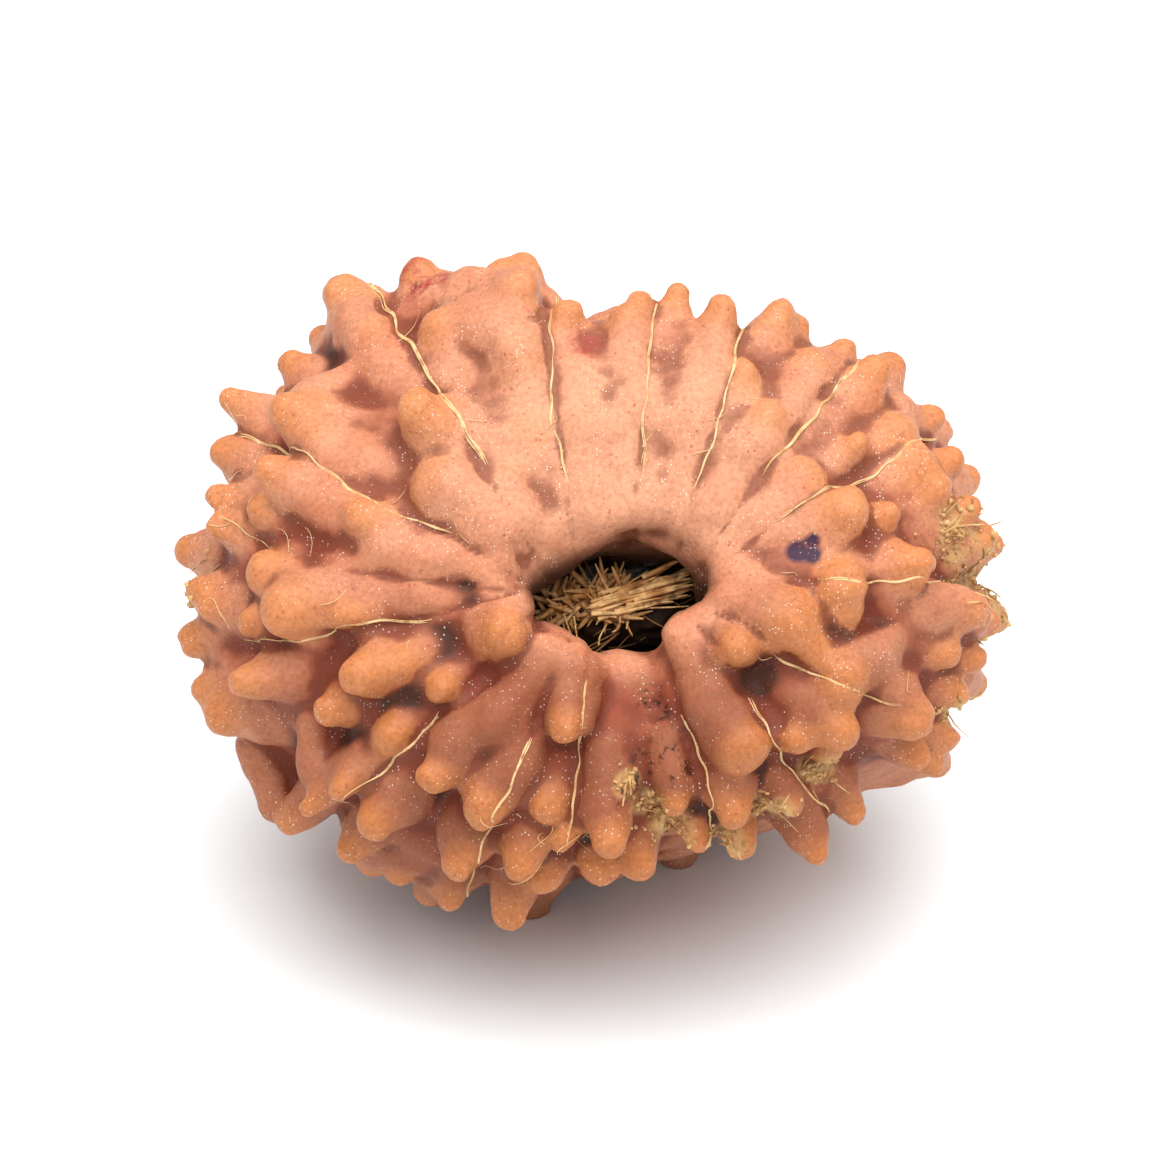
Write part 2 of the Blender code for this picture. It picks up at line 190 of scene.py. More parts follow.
def ring_reading(points):
    """Azimuth, section angle, distance above the smooth ring, and outward direction, at world points."""
    local = (points - np.array(SEED_CENTRE)) @ LEANING
    x, y, z = local.T
    x = x - HOLE_RIGHT
    y = y + HOLE_FRONT
    azimuth = np.arctan2(y / CREST_SHORT, x / CREST_LONG)
    for _ in range(READING_STEPS):
        cosine, sine = np.cos(azimuth), np.sin(azimuth)
        off_x, off_y = x - CREST_LONG * cosine, y - CREST_SHORT * sine
        slope = off_y * CREST_SHORT * cosine - off_x * CREST_LONG * sine
        speed = (CREST_LONG * sine) ** 2 + (CREST_SHORT * cosine) ** 2
        bend = -speed - off_x * CREST_LONG * cosine - off_y * CREST_SHORT * sine
        turn = slope / np.minimum(bend, -LEAST_BEND * speed)
        azimuth = azimuth - np.clip(turn, -LARGEST_TURN, LARGEST_TURN)
    outward = ring_outward(azimuth)
    off_x, off_y = x - CREST_LONG * np.cos(azimuth), y - CREST_SHORT * np.sin(azimuth)
    across = off_x * outward[:, 0] + off_y * outward[:, 1]
    reach = ring_reach(azimuth, across < 0)
    power = np.where(across < 0, RIM_SQUARENESS, 2)
    level, upright = np.abs(across) / reach, np.abs(z) / HALF_HEIGHT
    ratio = np.maximum((level**power + upright**power) ** (1 / power), 0.05)
    section = np.arctan2(np.sign(z) * upright ** (power / 2), np.sign(across) * level ** (power / 2))
    level_slope = np.sign(across) * (level / ratio) ** (power - 1) / reach
    upright_slope = np.sign(z) * (upright / ratio) ** (power - 1) / HALF_HEIGHT
    steep = np.stack([outward[:, 0] * level_slope, outward[:, 1] * level_slope, upright_slope], axis=-1)
    steep_length = np.maximum(np.linalg.norm(steep, axis=1), 1e-9)
    above = (ratio - 1) / steep_length
    direction = (steep / steep_length[:, None]) @ LEANING.T
    return azimuth, section, above, direction


test_point = place_at(30, 60, 1)
reading = ring_reading(test_point[None])
print("30, 60, 1 mm reads back as", [round(float(np.degrees(reading[i][0])), 1) for i in (0, 1)],
      round(float(reading[2][0] / MM), 2))

# %% [markdown]
# ## The knobs, face by face
#
# Each knob is a tapered finger. Its tip is read from the photograph, and its root lies nearer the
# hole, because the knobs of this seed sweep outwards. The list holds the tip's azimuth and section
# angle in degrees, how far it stands out and its width in millimetres. Where it isn't the usual, the
# sweep follows: how many degrees nearer the hole the root lies, and how many degrees aside.

# %% List the grooves and knobs
# Each groove is its azimuth on the crest, and how far it sweeps round on its way to the outer edge,
# both in degrees.
GROOVES = (
    (-1, 8), (28, -2), (44, 1), (63, 4), (83, -1), (108, -8), (133, -4), (159, -3),
    (180, -17), (193, -12), (221, -9), (246, -6), (259, 2), (289, 5), (310, 8), (328, 20),
)
LONGEST, LONG, MIDDLE, SHORT = 3.3, 2.7, 1.9, 1.0
USUAL_SWEEP = 10
KNOBS_BY_FACE = (
    ((0, 79, LONG, 2.1, 9, 4), (4, 60, LONG, 2.0, 14), (10, 30, MIDDLE, 1.8), (14, 36, MIDDLE, 1.4),
     (16, 63, MIDDLE, 1.2), (18, 45, MIDDLE, 1.8), (20, 74, LONG, 2.2, 18), (22, 35, MIDDLE, 1.4),
     (23, 48, MIDDLE, 2.1)),
    ((29, 30, MIDDLE, 1.5), (30, 47, MIDDLE, 1.8), (32, 61, MIDDLE, 1.1), (32, 113, SHORT, 1.6),
     (34, 77, MIDDLE, 1.6, 20), (40, 43, LONG, 1.5), (40, 51, SHORT, 1.4)),
    ((47, 37, MIDDLE, 1.4), (50, 50, MIDDLE, 1.4), (51, 70, MIDDLE, 1.5, 14), (51, 81, SHORT, 1.6),
     (56, 95, SHORT, 1.4), (60, 43, LONG, 1.5, 12), (56, 40, MIDDLE, 1.2), (62, 62, MIDDLE, 1.5, 14)),
    ((70, 49, LONG, 1.4, 14), (74, 60, SHORT, 1.0), (79, 42, MIDDLE, 1.2, 14)),
    ((86, 46, MIDDLE, 1.5, 14), (89, 52, MIDDLE, 1.4, 14), (100, 51, MIDDLE, 1.4, 14)),
    ((106, 24, MIDDLE, 1.2), (108, 45, LONG, 1.8, 10, 6), (110, 26, MIDDLE, 1.4),
     (112, 60, MIDDLE, 1.8, 12, 4), (115, 79, SHORT, 2.0, 14), (119, 26, MIDDLE, 1.6),
     (123, 23, LONG, 2.0), (124, 44, MIDDLE, 2.0), (127, 86, SHORT, 2.0, 14)),
    ((133, 16, LONGEST, 2.3), (134, 35, MIDDLE, 1.5), (137, 66, LONG, 2.1, 12, -4),
     (145, 19, MIDDLE, 1.5), (146, 81, MIDDLE, 2.4, 18, -6), (150, 45, MIDDLE, 1.6),
     (153, 44, LONG, 1.8), (154, 54, MIDDLE, 1.4), (154, 19, LONG, 1.4)),
    ((160, 23, MIDDLE, 1.6), (162, 49, LONG, 1.6, 20), (164, 71, MIDDLE, 1.8, 18),
     (164, 88, SHORT, 1.6), (164, 105, SHORT, 1.6), (166, 30, MIDDLE, 1.5), (167, 46, MIDDLE, 1.6)),
    ((170, 34, MIDDLE, 1.6), (176, 50, MIDDLE, 2.1), (178, 28, MIDDLE, 1.8), (180, 32, MIDDLE, 1.5),
     (181, 82, SHORT, 1.8), (183, 20, MIDDLE, 2.0), (184, 45, MIDDLE, 1.4),
     (184, 57, LONG, 2.4, 16, -5), (187, 69, MIDDLE, 1.6)),
    ((189, 20, MIDDLE, 1.4), (192, 42, LONG, 1.6), (193, 22, MIDDLE, 2.3), (200, 67, LONG, 2.0),
     (202, 75, MIDDLE, 2.0), (202, 55, MIDDLE, 1.8), (210, 17, MIDDLE, 1.4, 14),
     (212, 35, LONG, 1.2, 18), (214, 61, MIDDLE, 2.0), (214, 46, LONG, 1.2, 14), (215, 78, MIDDLE, 1.6),
     (219, 93, LONG, 2.1, 20, -8)),
    ((220, 24, MIDDLE, 1.5), (222, 42, LONG, 1.8, 14), (227, 60, LONG, 1.6, 16, 4),
     (239, 40, LONG, 1.8, 12), (239, 19, MIDDLE, 1.4), (240, 57, LONG, 2.1, 14), (222, 4, SHORT, 1.7),
     (228, 12, SHORT, 1.9), (233, -8, SHORT, 1.8), (236, 8, SHORT, 1.9)),
    ((250, 43, LONG, 1.7, 14), (250, 24, LONG, 1.8, 14), (253, 59, MIDDLE, 1.8),
     (255, 81, LONG, 1.4, 20), (255, 35, MIDDLE, 1.7), (258, 50, MIDDLE, 1.4)),
    ((266, 39, MIDDLE, 1.8), (268, 52, LONG, 1.7, 18), (274, 41, MIDDLE, 1.6),
     (283, 59, MIDDLE, 1.4, 16), (287, 46, MIDDLE, 1.4)),
    ((296, 41, MIDDLE, 1.7), (296, 55, LONG, 1.8, 14), (303, 71, LONG, 2.4, 22, -2),
     (308, 48, MIDDLE, 1.2), (309, 33, LONG, 1.4, 14)),
    ((316, 91, LONG, 1.8, 20, 6), (316, 65, MIDDLE, 1.8), (319, 32, MIDDLE, 1.4), (322, 54, SHORT, 1.6),
     (325, 61, LONG, 2.0, 20)),
    ((334, 34, MIDDLE, 1.2), (335, 25, MIDDLE, 1.1), (338, 47, LONG, 2.2, 12, 2),
     (340, 27, MIDDLE, 1.4), (341, 90, LONG, 2.8, 24, 14), (346, 33, MIDDLE, 1.4),
     (351, 44, MIDDLE, 1.6), (352, 32, MIDDLE, 1.4), (352, 77, MIDDLE, 1.8), (358, 28, MIDDLE, 1.4),
     (358, 43, LONG, 1.5, 14), (335, 69, LONG, 2.3, 12, 6), (338, 81, MIDDLE, 1.7)),
)
print(sum(len(face) for face in KNOBS_BY_FACE), "knobs read from the photograph")

# %% [markdown]
# Long low spines run from the hole to some of the knobs and join them up. Each is a chain of places on
# the ring, as azimuth, section angle, lift and radius in millimetres.

# %% List the spines
SPINES = (
    ((234, 136, 0.0, 0.7), (242, 95, 0.7, 0.95), (233, 79, 0.9, 0.9), (226, 68, 1.2, 0.85)),
    ((244, 80, 0.2, 0.8), (242, 68, 0.8, 0.85), (240, 58, 1.2, 0.85)),
    ((248, 127, 0.0, 0.6), (254, 96, 0.6, 0.75), (255, 84, 1.2, 0.7)),
    ((328, 150, 0.0, 0.7), (301, 112, 0.6, 0.9), (300, 86, 0.9, 1.0), (302, 74, 1.2, 1.1)),
    ((10, 132, 0.1, 0.8), (352, 108, 0.9, 1.1), (342, 92, 1.2, 1.3)),
    ((340, 140, 0.0, 0.7), (318, 110, 0.6, 0.9), (316, 94, 1.0, 0.9)),
    ((358, 62, 0.5, 0.8), (358, 46, 1.2, 0.75), (358, 36, 1.2, 0.7)),
    ((164, 66, 0.3, 0.9), (162, 54, 1.0, 0.9)),
    ((180, 146, 0.0, 0.7), (206, 115, 0.6, 0.9), (214, 98, 1.0, 1.0)),
    ((150, 132, 0.1, 0.7), (165, 105, 0.5, 0.8), (169, 88, 0.7, 0.7), (170, 76, 0.7, 0.6)),
    ((198, 102, 0.2, 0.8), (186, 84, 0.5, 0.8)),
    ((179, 66, 0.3, 0.8), (182, 56, 1.0, 0.9)),
    ((202, 44, 0.2, 0.7), (208, 38, 1.0, 0.65)),
    ((198, 14, 0.1, 0.8), (206, 14, 0.9, 0.75)),
    ((213, 56, 0.2, 0.7), (213, 46, 1.0, 0.65)),
    ((222, 56, 0.2, 0.8), (222, 46, 1.0, 0.85)),
    ((236, 50, 0.2, 0.8), (237, 42, 1.0, 0.85)),
    ((264, 74, 0.1, 0.7), (266, 60, 0.9, 0.75)),
    ((285, 80, 0.1, 0.6), (284, 67, 0.8, 0.65)),
    ((326, 80, 0.3, 0.9), (326, 68, 1.1, 0.9)),
    ((342, 60, 0.3, 0.9), (340, 52, 1.1, 1.0)),
    ((351, 58, 0.3, 0.8), (344, 64, 0.9, 0.9), (338, 68, 1.3, 1.0)),
    ((297, 68, 0.2, 0.8), (297, 60, 1.0, 0.85)),
    ((308, 60, 0.2, 0.6), (309, 52, 0.8, 0.6)),
    ((312, 42, 0.2, 0.7), (310, 36, 1.2, 0.7)),
    ((332, 128, 0.1, 0.7), (320, 98, 0.7, 0.8)),
    ((6, 92, 0.4, 0.8), (4, 76, 0.9, 0.8)),
    ((24, 98, 0.2, 0.8), (21, 80, 0.8, 0.9)),
    ((37, 134, 0.1, 0.6), (30, 107, 0.4, 0.7), (31, 90, 0.7, 0.7), (34, 80, 1.0, 0.7)),
    ((54, 110, 0.1, 0.6), (52, 92, 0.4, 0.7), (49, 78, 0.5, 0.7), (48, 60, 0.7, 0.7), (48, 46, 0.8, 0.7)),
    ((43, 34, 0.3, 0.7), (34, 38, 0.7, 0.7), (29, 44, 0.8, 0.7)),
    ((124, 30, 0.5, 0.9), (116, 34, 1.2, 0.9), (109, 42, 1.6, 0.9)),
    ((121, 36, 0.5, 0.9), (116, 48, 0.9, 0.9), (112, 58, 1.0, 0.9)),
    ((122, 118, 0.1, 0.8), (138, 92, 0.7, 1.0), (144, 84, 1.0, 1.1)),
    ((143, 40, 0.4, 0.8), (149, 40, 1.2, 0.85)),
    ((152, 66, 0.3, 0.7), (154, 56, 1.0, 0.7)),
    ((136, 44, 0.3, 0.9), (135, 28, 1.2, 1.0)),
    ((66, 100, 0.1, 0.6), (68, 76, 0.4, 0.6), (69, 58, 0.9, 0.6)),
    ((84, 100, 0.0, 0.6), (85, 76, 0.3, 0.6), (86, 56, 0.7, 0.65)),
    ((98, 104, 0.0, 0.7), (97, 82, 0.2, 0.7), (99, 62, 0.5, 0.65)),
)
print(len(SPINES), "spines")

# %% Turn the lists into tapered fingers
ROOT_SHARE_FRONT, ROOT_SHARE_BACK = 1.65, 2.2
ROOT_SINKS = 0.55
TIP_SHARE = 0.66
BLUNTER_FROM, BLUNTER = 2.0, 0.25
WIDTH_SHARE = 1.16
# Each foot is its azimuth and section angle in degrees, and its width in millimetres.
FEET = ((250, -35, 2.1), (287, -60, 1.9), (230, -82, 2.4), (294, -87, 2.4))
FOOT_SINKS = 0.45
FOOT_ROOT_SHARE, FOOT_TIP_SHARE, FOOT_TIPNESS = 0.55, 0.42, 0.4
# Rows lie at these section angles. A row leaves out what is above an angle between two azimuths.
ROW_ANGLES = (10, -10, -30, -50, -72, -96, -124)
ROWS_SKIP = ((45, 112, -20), (185, 352, -20), (262, 335, -60))
ROW_SHARES = (0.28, 0.74)
ROW_STANDS, ROW_WIDTHS = (1.3, 2.3), (1.4, 2.1)
ROW_JITTER = 5
ROW_SEED = 16
CLEAR_OF_LISTED = 2.3 * MM
CLEAR_OF_GROUND = 0.4


def groove_azimuth(groove, section):
    """Where a groove lies, in degrees, at section angles in degrees."""
    crossing, sweep = groove
    return crossing + sweep * (90 - np.clip(section, -20, 120)) / 90


def root_share(azimuth):
    """How much wider a knob is at its root than its own width: most at the back."""
    back = 0.5 + 0.5 * math.sin(math.radians(azimuth))
    return ROOT_SHARE_FRONT + (ROOT_SHARE_BACK - ROOT_SHARE_FRONT) * back


def finger(root, tip, root_radius, tip_radius, tipness=1.0):
    """A tapered finger between two places. Tipness is how much its end is coloured as a knob's tip."""
    return {"root": np.array(root), "tip": np.array(tip), "root_radius": root_radius * MM,
            "tip_radius": tip_radius * MM, "tipness": tipness}


def knob_fingers():
    made = []
    for face in KNOBS_BY_FACE:
        for azimuth, section, stands, width, *rest in face:
            sweep = rest[0] if rest else USUAL_SWEEP
            aside = rest[1] if len(rest) > 1 else 0
            radius = width / 2 * WIDTH_SHARE
            wide = radius * root_share(azimuth)
            root = place_at(azimuth + aside, section + sweep, -ROOT_SINKS * wide)
            tip_radius = radius * (TIP_SHARE + BLUNTER * max(0, width - BLUNTER_FROM))
            tip = place_at(azimuth, section, stands - tip_radius)
            made.append(finger(root, tip, wide, tip_radius))
    return made


def spine_fingers():
    made = []
    for chain in SPINES:
        for first, second in zip(chain, chain[1:]):
            made.append(finger(place_at(*first[:3]), place_at(*second[:3]), first[3], second[3], 0.0))
    return made


def foot_fingers():
    """Knobs that reach straight down to the ground."""
    made = []
    for azimuth, section, width in FEET:
        root = place_at(azimuth, section)
        tip = root.copy()
        tip[2] = (width * FOOT_TIP_SHARE - FOOT_SINKS) * MM
        made.append(finger(root, tip, width * FOOT_ROOT_SHARE, width * FOOT_TIP_SHARE, FOOT_TIPNESS))
    return made


def row_fingers(taken):
    """Rows of knobs round the outer edge and underneath, as in the plain model."""
    draw = random.Random(ROW_SEED)
    tips = [one["tip"] for one in taken]
    made = []
    for row, section in enumerate(ROW_ANGLES):
        for number in range(2 * len(GROOVES)):
            face = number // 2
            start = float(groove_azimuth(GROOVES[face], section))
            wide = (float(groove_azimuth(GROOVES[(face + 1) % len(GROOVES)], section)) - start) % 360
            share = ROW_SHARES[(number + row) % 2]
            azimuth = start + wide * share + draw.uniform(-ROW_JITTER, ROW_JITTER) / 2
            angle = section + draw.uniform(-ROW_JITTER, ROW_JITTER)
            stands = draw.uniform(*ROW_STANDS)
            width = draw.uniform(*ROW_WIDTHS)
            tip = place_at(azimuth, angle, stands - width / 2)
            skipped = any(low < azimuth % 360 < high and section > down for low, high, down in ROWS_SKIP)
            if skipped or tip[2] < (width / 2 + CLEAR_OF_GROUND) * MM:
                continue
            if min(np.linalg.norm(tip - other) for other in tips) < CLEAR_OF_LISTED:
                continue
            tips.append(tip)
            base = root_share(azimuth) * width / 2
            root = place_at(azimuth, angle + USUAL_SWEEP, -ROOT_SINKS * base)
            made.append(finger(root, tip, base, TIP_SHARE * width / 2))
    return made


fingers = knob_fingers() + spine_fingers() + foot_fingers()
fingers += row_fingers(fingers)
print(len(fingers), "fingers and spine pieces")

# %% [markdown]
# ## Growing the stone
#
# A sculptor would start from a rough clay ring with clay fingers pressed on, and then smooth the
# joints. This does the same: one finger is modelled from a sphere and copied along the list, the
# copies are joined to a torus, and a voxel remesh makes one skin of them all. Then each point of the
# skin settles onto a smooth union of the ring and the fingers, which fillets every joint as growth
# does.

# %% Join the rough stone
VOXEL = 0.23 * MM
RING_SEGMENTS, SECTION_SEGMENTS = 200, 90
FINGER_SEGMENTS, FINGER_RINGS = 14, 9


def deselect_all():
    for thing in bpy.context.selected_objects:
        thing.select_set(False)


def apply_modifier(thing, kind, **settings):
    """Adds a modifier with these settings and applies it."""
    deselect_all()
    bpy.context.view_layer.objects.active = thing
    thing.select_set(True)
    modifier = thing.modifiers.new(kind.lower(), kind)
    for name, value in settings.items():
        setattr(modifier, name, value)
    bpy.ops.object.modifier_apply(modifier=modifier.name)


def points_of(thing):
    held = np.empty(len(thing.data.vertices) * 3)
    thing.data.vertices.foreach_get("co", held)
    return held.reshape(-1, 3)


def set_points(thing, points):
    thing.data.vertices.foreach_set("co", np.asarray(points, dtype=float).ravel())
    thing.data.update()


def copy_of(thing, points):
    """A copy with a mesh of its own, its points at these places."""
    copy = thing.copy()
    copy.data = thing.data.copy()
    bpy.context.collection.objects.link(copy)
    set_points(copy, points)
    return copy


def join_onto(main, others):
    """Joins the other pieces onto the main one."""
    deselect_all()
    for thing in (*others, main):
        thing.select_set(True)
    bpy.context.view_layer.objects.active = main
    bpy.ops.object.join()


deselect_all()
bpy.ops.mesh.primitive_torus_add(
    major_segments=RING_SEGMENTS, minor_segments=SECTION_SEGMENTS,
    major_radius=CREST_LONG, minor_radius=CREST_TO_HOLE_ENDS,
)
stone = bpy.context.object
stone.name = "grown_stone"
x, y, z = points_of(stone).T
set_points(stone, ring_point(np.arctan2(y, x), np.arctan2(z, np.hypot(x, y) - CREST_LONG)))

deselect_all()
bpy.ops.mesh.primitive_uv_sphere_add(segments=FINGER_SEGMENTS, ring_count=FINGER_RINGS, radius=1)
clay_finger = bpy.context.object
unit_points = points_of(clay_finger)
share = (unit_points[:, 2:] + 1) / 2
copies = []
for one in fingers:
    along = one["tip"] - one["root"]
    turn = np.array(Vector(along).to_track_quat("Z", "Y").to_matrix())
    radius = one["root_radius"] + (one["tip_radius"] - one["root_radius"]) * share
    middle = one["root"] + share * along
    copies.append(copy_of(clay_finger, middle + (unit_points * radius) @ turn.T))
bpy.data.objects.remove(clay_finger)
join_onto(stone, copies)
apply_modifier(stone, "REMESH", mode="VOXEL", voxel_size=VOXEL)
print("rough stone:", len(stone.data.vertices), "points")

# %% [markdown]
# Between the knobs the body isn't quite the plain ring. It sinks along the grooves, swells towards the
# back, and is pressed in at three places of its edge, as its outline in the photograph shows. Each is
# a function of the two angles, so that the next step can ask for it at any point of the skin.

# %% Let the body sink and swell
# How far from the middle the outer edge, the crest and the hole lie, in millimetres.
GAP_ANGLES, GAP_REACHES = (0, 90, 180), (14, 8, 4)
VALLEY_FRONT, VALLEY_BACK = 0.7 * MM, 0.12 * MM
VALLEY_WIDTH = 0.7 * MM
VALLEY_UNDER = ((0, 40), (1, 0))
VALLEY_FADE = ((100, 140), (1, 0.15))
SWELL_FRONT, SWELL_BACK = 0.1 * MM, 0.6 * MM
SWELL_OVER = ((15, 60, 95, 130), (0.4, 1, 1, 0))
# The edge sinks at three sides: by how much, and between which section angles and azimuths.
FRONT_EDGE_SINKS, FRONT_EDGE_OVER = 0.7 * MM, (-30, 0, 20, 60)
RIGHT_EDGE_SINKS, RIGHT_EDGE_OVER, RIGHT_EDGE_AROUND = 1.6 * MM, (-60, -25, 15, 45), (262, 280, 318, 335)
BACK_EDGE_SINKS, BACK_EDGE_OVER, BACK_EDGE_AROUND = 1.3 * MM, (-40, -10, 25, 50), (35, 58, 100, 116)


def band(values, stations):
    """0 outside four stations, 1 between the inner two, and a slope between."""
    return np.interp(values, stations, (0, 1, 1, 0))


def groove_gap(azimuth, section):
    """How far each point lies from the nearest groove."""
    degrees = np.degrees(section)
    lines = np.stack([groove_azimuth(groove, degrees) for groove in GROOVES], axis=1)
    ahead = (np.degrees(azimuth)[:, None] - lines) % 360
    nearest = np.minimum(np.min(ahead, axis=1), np.min((-ahead) % 360, axis=1))
    reach = np.interp(np.abs(degrees), GAP_ANGLES, GAP_REACHES) * MM
    return nearest * reach * math.radians(1)


def valley(azimuth, section):
    """How far the ring sinks along the grooves: deep at the front and the edge, faint at the back."""
    front = 0.5 - 0.5 * np.sin(azimuth)
    under = np.interp(np.degrees(section), *VALLEY_UNDER)
    deep = VALLEY_BACK + (VALLEY_FRONT - VALLEY_BACK) * np.maximum(front, under)
    fade = np.interp(np.abs(np.degrees(section)), *VALLEY_FADE)
    return deep * fade * np.exp(-((groove_gap(azimuth, section) / VALLEY_WIDTH) ** 2))


def swell(azimuth, section):
    """How far the body between the knobs stands above the plain ring: most at the back."""
    back = 0.5 + 0.5 * np.sin(azimuth)
    around, over = np.degrees(azimuth) % 360, np.degrees(section)
    front = band(over, FRONT_EDGE_OVER) * (1 - back) ** 2
    right = band(over, RIGHT_EDGE_OVER) * band(around, RIGHT_EDGE_AROUND)
    behind = band(over, BACK_EDGE_OVER) * band(around, BACK_EDGE_AROUND)
    swells = (SWELL_FRONT + (SWELL_BACK - SWELL_FRONT) * back) * np.interp(over, *SWELL_OVER)
    return swells - FRONT_EDGE_SINKS * front - RIGHT_EDGE_SINKS * right - BACK_EDGE_SINKS * behind


side_angles = np.radians([270.0, 90.0])
crest_angles = np.radians([90.0, 90.0])
swells = [round(float(height / MM), 2) for height in swell(side_angles, crest_angles)]
print("the crest swells by", swells[0], "mm at the front and", swells[1], "mm at the back")

# %% Settle the skin onto the smooth union
BLEND_FRONT, BLEND_BACK = 0.2 * MM, 0.34 * MM
SETTLE_STEPS = 4
FIRST_MOVES, LAST_MOVE = 0.5 * MM, 0.2 * MM
LEAST_SLOPE = 0.25
REACH = 2.2 * MM
EXPONENT_LIMIT = 30


def union(points):
    """Distance above the smooth union of the ring and all fingers, and the direction away from it."""
    azimuth, section, above, direction = ring_reading(points)
    blend = BLEND_FRONT + (BLEND_BACK - BLEND_FRONT) * (0.5 + 0.5 * np.sin(azimuth))
    above = above + valley(azimuth, section) - swell(azimuth, section)
    weight = np.exp(-np.clip(above / blend, -EXPONENT_LIMIT, EXPONENT_LIMIT))
    total = weight.copy()
    slope = direction * weight[:, None]
    tipness = np.zeros(len(points))
    for one in fingers:
        root, tip = one["root"], one["tip"]
        along = tip - root
        length = np.linalg.norm(along)
        near = np.linalg.norm(points - (root + tip) / 2, axis=1) < length / 2 + one["root_radius"] + REACH
        here = points[near]
        share = np.clip((here - root) @ along / length**2, 0, 1)
        off = here - root - share[:, None] * along
        far = np.linalg.norm(off, axis=1)
        distance = far - (one["root_radius"] + (one["tip_radius"] - one["root_radius"]) * share)
        weight = np.exp(-np.clip(distance / blend[near], -EXPONENT_LIMIT, EXPONENT_LIMIT))
        total[near] += weight
        slope[near] += off / np.maximum(far, 1e-9)[:, None] * weight[:, None]
        tipness[near] += weight * share**2 * one["tipness"]
    slope /= total[:, None]
    return -blend * np.log(total), slope, tipness / total


def settle(thing, steps, farthest):
    """Moves a piece's points onto the union, each step no farther than this."""
    points = points_of(thing)
    for _ in range(steps):
        above, slope, _ = union(points)
        steep = np.maximum(np.sum(slope**2, axis=1), LEAST_SLOPE)
        points -= slope * (np.clip(above, -farthest, farthest) / steep)[:, None]
    set_points(thing, points)


settle(stone, SETTLE_STEPS, FIRST_MOVES)
apply_modifier(stone, "REMESH", mode="VOXEL", voxel_size=VOXEL)
settle(stone, 1, LAST_MOVE)
apply_modifier(stone, "SMOOTH", factor=0.5, iterations=1)
points = points_of(stone)
above, _, tipness = union(points)
print("settled stone:", len(points), "points, off by", round(float(np.abs(above).mean() / MM), 3), "mm")

# %% [markdown]
# ## Marks that the seed carries
#
# The photograph shows places where the skin isn't plain: red hollows at the back, a purple stain
# beside the hole, dark gaps between the knobs, where shade is painted, and sandy patches where crumbs
# of dried flesh still hang on. Each mark is a few round places, given as azimuth and section angle in
# degrees and radius in millimetres. The same places press the skin in, tint it, and say where crumbs fall.

# %% List the marked places
RED_HOLLOWS = ((97, 59, 0.8), (122, 30, 1.2), (124, 22, 1.0), (116, 22, 1.0))
PURPLE_STAIN = ((13, 88, 0.62), (10, 85, 0.5), (15, 84, 0.4))
PANEL_PITS = ((282, 90, 0.7), (284, 78, 0.6), (278, 72, 0.6), (273, 64, 0.6), (286, 68, 0.5))
SHADED_GAPS = (
    (238, 72, 0.7), (210, 69, 0.8), (318, 85, 0.7), (314, 105, 0.8), (253, 46, 0.7), (176, 25, 0.6),
    (180, 42, 0.8), (142, 27, 0.8), (348, 62, 0.8), (344, 31, 0.8), (334, 33, 0.9), (346, 76, 0.6),
    (200, 34, 0.8), (210, 52, 0.8), (202, 85, 0.7), (184, 95, 0.6), (139, 14, 0.7), (290, 52, 0.7),
    (304, 60, 0.6), (226, 52, 0.7), (265, 48, 0.6),
)
SANDY_PATCHES = (
    (10, 40, 1.0), (7, 27, 1.2), (3, 12, 1.2), (2, 36, 0.8), (12, 43, 0.8), (357, 18, 0.9),
    (272, 66, 0.5), (277, 58, 0.6), (304, 48, 0.8), (318, 49, 0.8), (282, 50, 0.8), (176, 25, 0.5),
    (293, 44, 0.7), (344, 31, 0.7),
)
# A spot is measured from a line through the skin, between these heights in millimetres.
UNDER_SKIN, OVER_SKIN = -0.5, 3.0


def patch(spots, places):
    """How strongly each place lies in any of these round spots, 0 to 1, at any height of the skin."""
    strength = np.zeros(len(places))
    for azimuth, section, radius in spots:
        under = place_at(azimuth, section, UNDER_SKIN)
        through_skin = place_at(azimuth, section, OVER_SKIN) - under
        share = np.clip((places - under) @ through_skin / (through_skin @ through_skin), 0, 1)
        far = np.linalg.norm(places - under - share[:, None] * through_skin, axis=1)
        strength = np.maximum(strength, np.exp(-((far / (radius * MM)) ** 2)))
    return strength


print(len(SHADED_GAPS), "dark gaps and", len(SANDY_PATCHES), "sandy patches")

# %% Cut the creases and roughen the skin
CREASE_DEPTH = 0.12 * MM
CREASE_WIDTH = 0.2 * MM
CREASE_FADE = ((120, 150), (1, 0.3))
# Lumps, wrinkles and grain: how deep, how large, and a number that picks the pattern.
GRAIN_SIZE = 0.3 * MM
ROUGH_LAYERS = ((0.2 * MM, 1.5 * MM, 1), (0.06 * MM, 0.6 * MM, 3), (0.018 * MM, GRAIN_SIZE, 2))
# Pleats run from the hole outwards: many round the ring, and long along it.
PLEAT_DEPTH, PLEATS_ROUND, PLEAT_LENGTH = 0.11 * MM, 5.5, 60
PLEAT_OVER = (30, 60, 125, 150)
PLEAT_PATTERN, PIT_PATTERN = 9, 4
PRESSED_IN = 0.45 * MM
PIT_SIZE = GRAIN_SIZE * 1.4
PIT_LEVEL, PIT_GAIN, PIT_SHARE = 0.1, 2, 0.6


def noise_at(points, size, pattern):
    """Smooth noise, about -1 to 1, with patches of this size."""
    shift = Vector((pattern * 7.1, pattern * 3.3, pattern * 5.7))
    return np.array([noise.noise(Vector(point) / size + shift) for point in points])


def vertex_normals(thing):
    held = np.empty(len(thing.data.vertices) * 3)
    thing.data.vertex_normals.foreach_get("vector", held)
    return held.reshape(-1, 3)


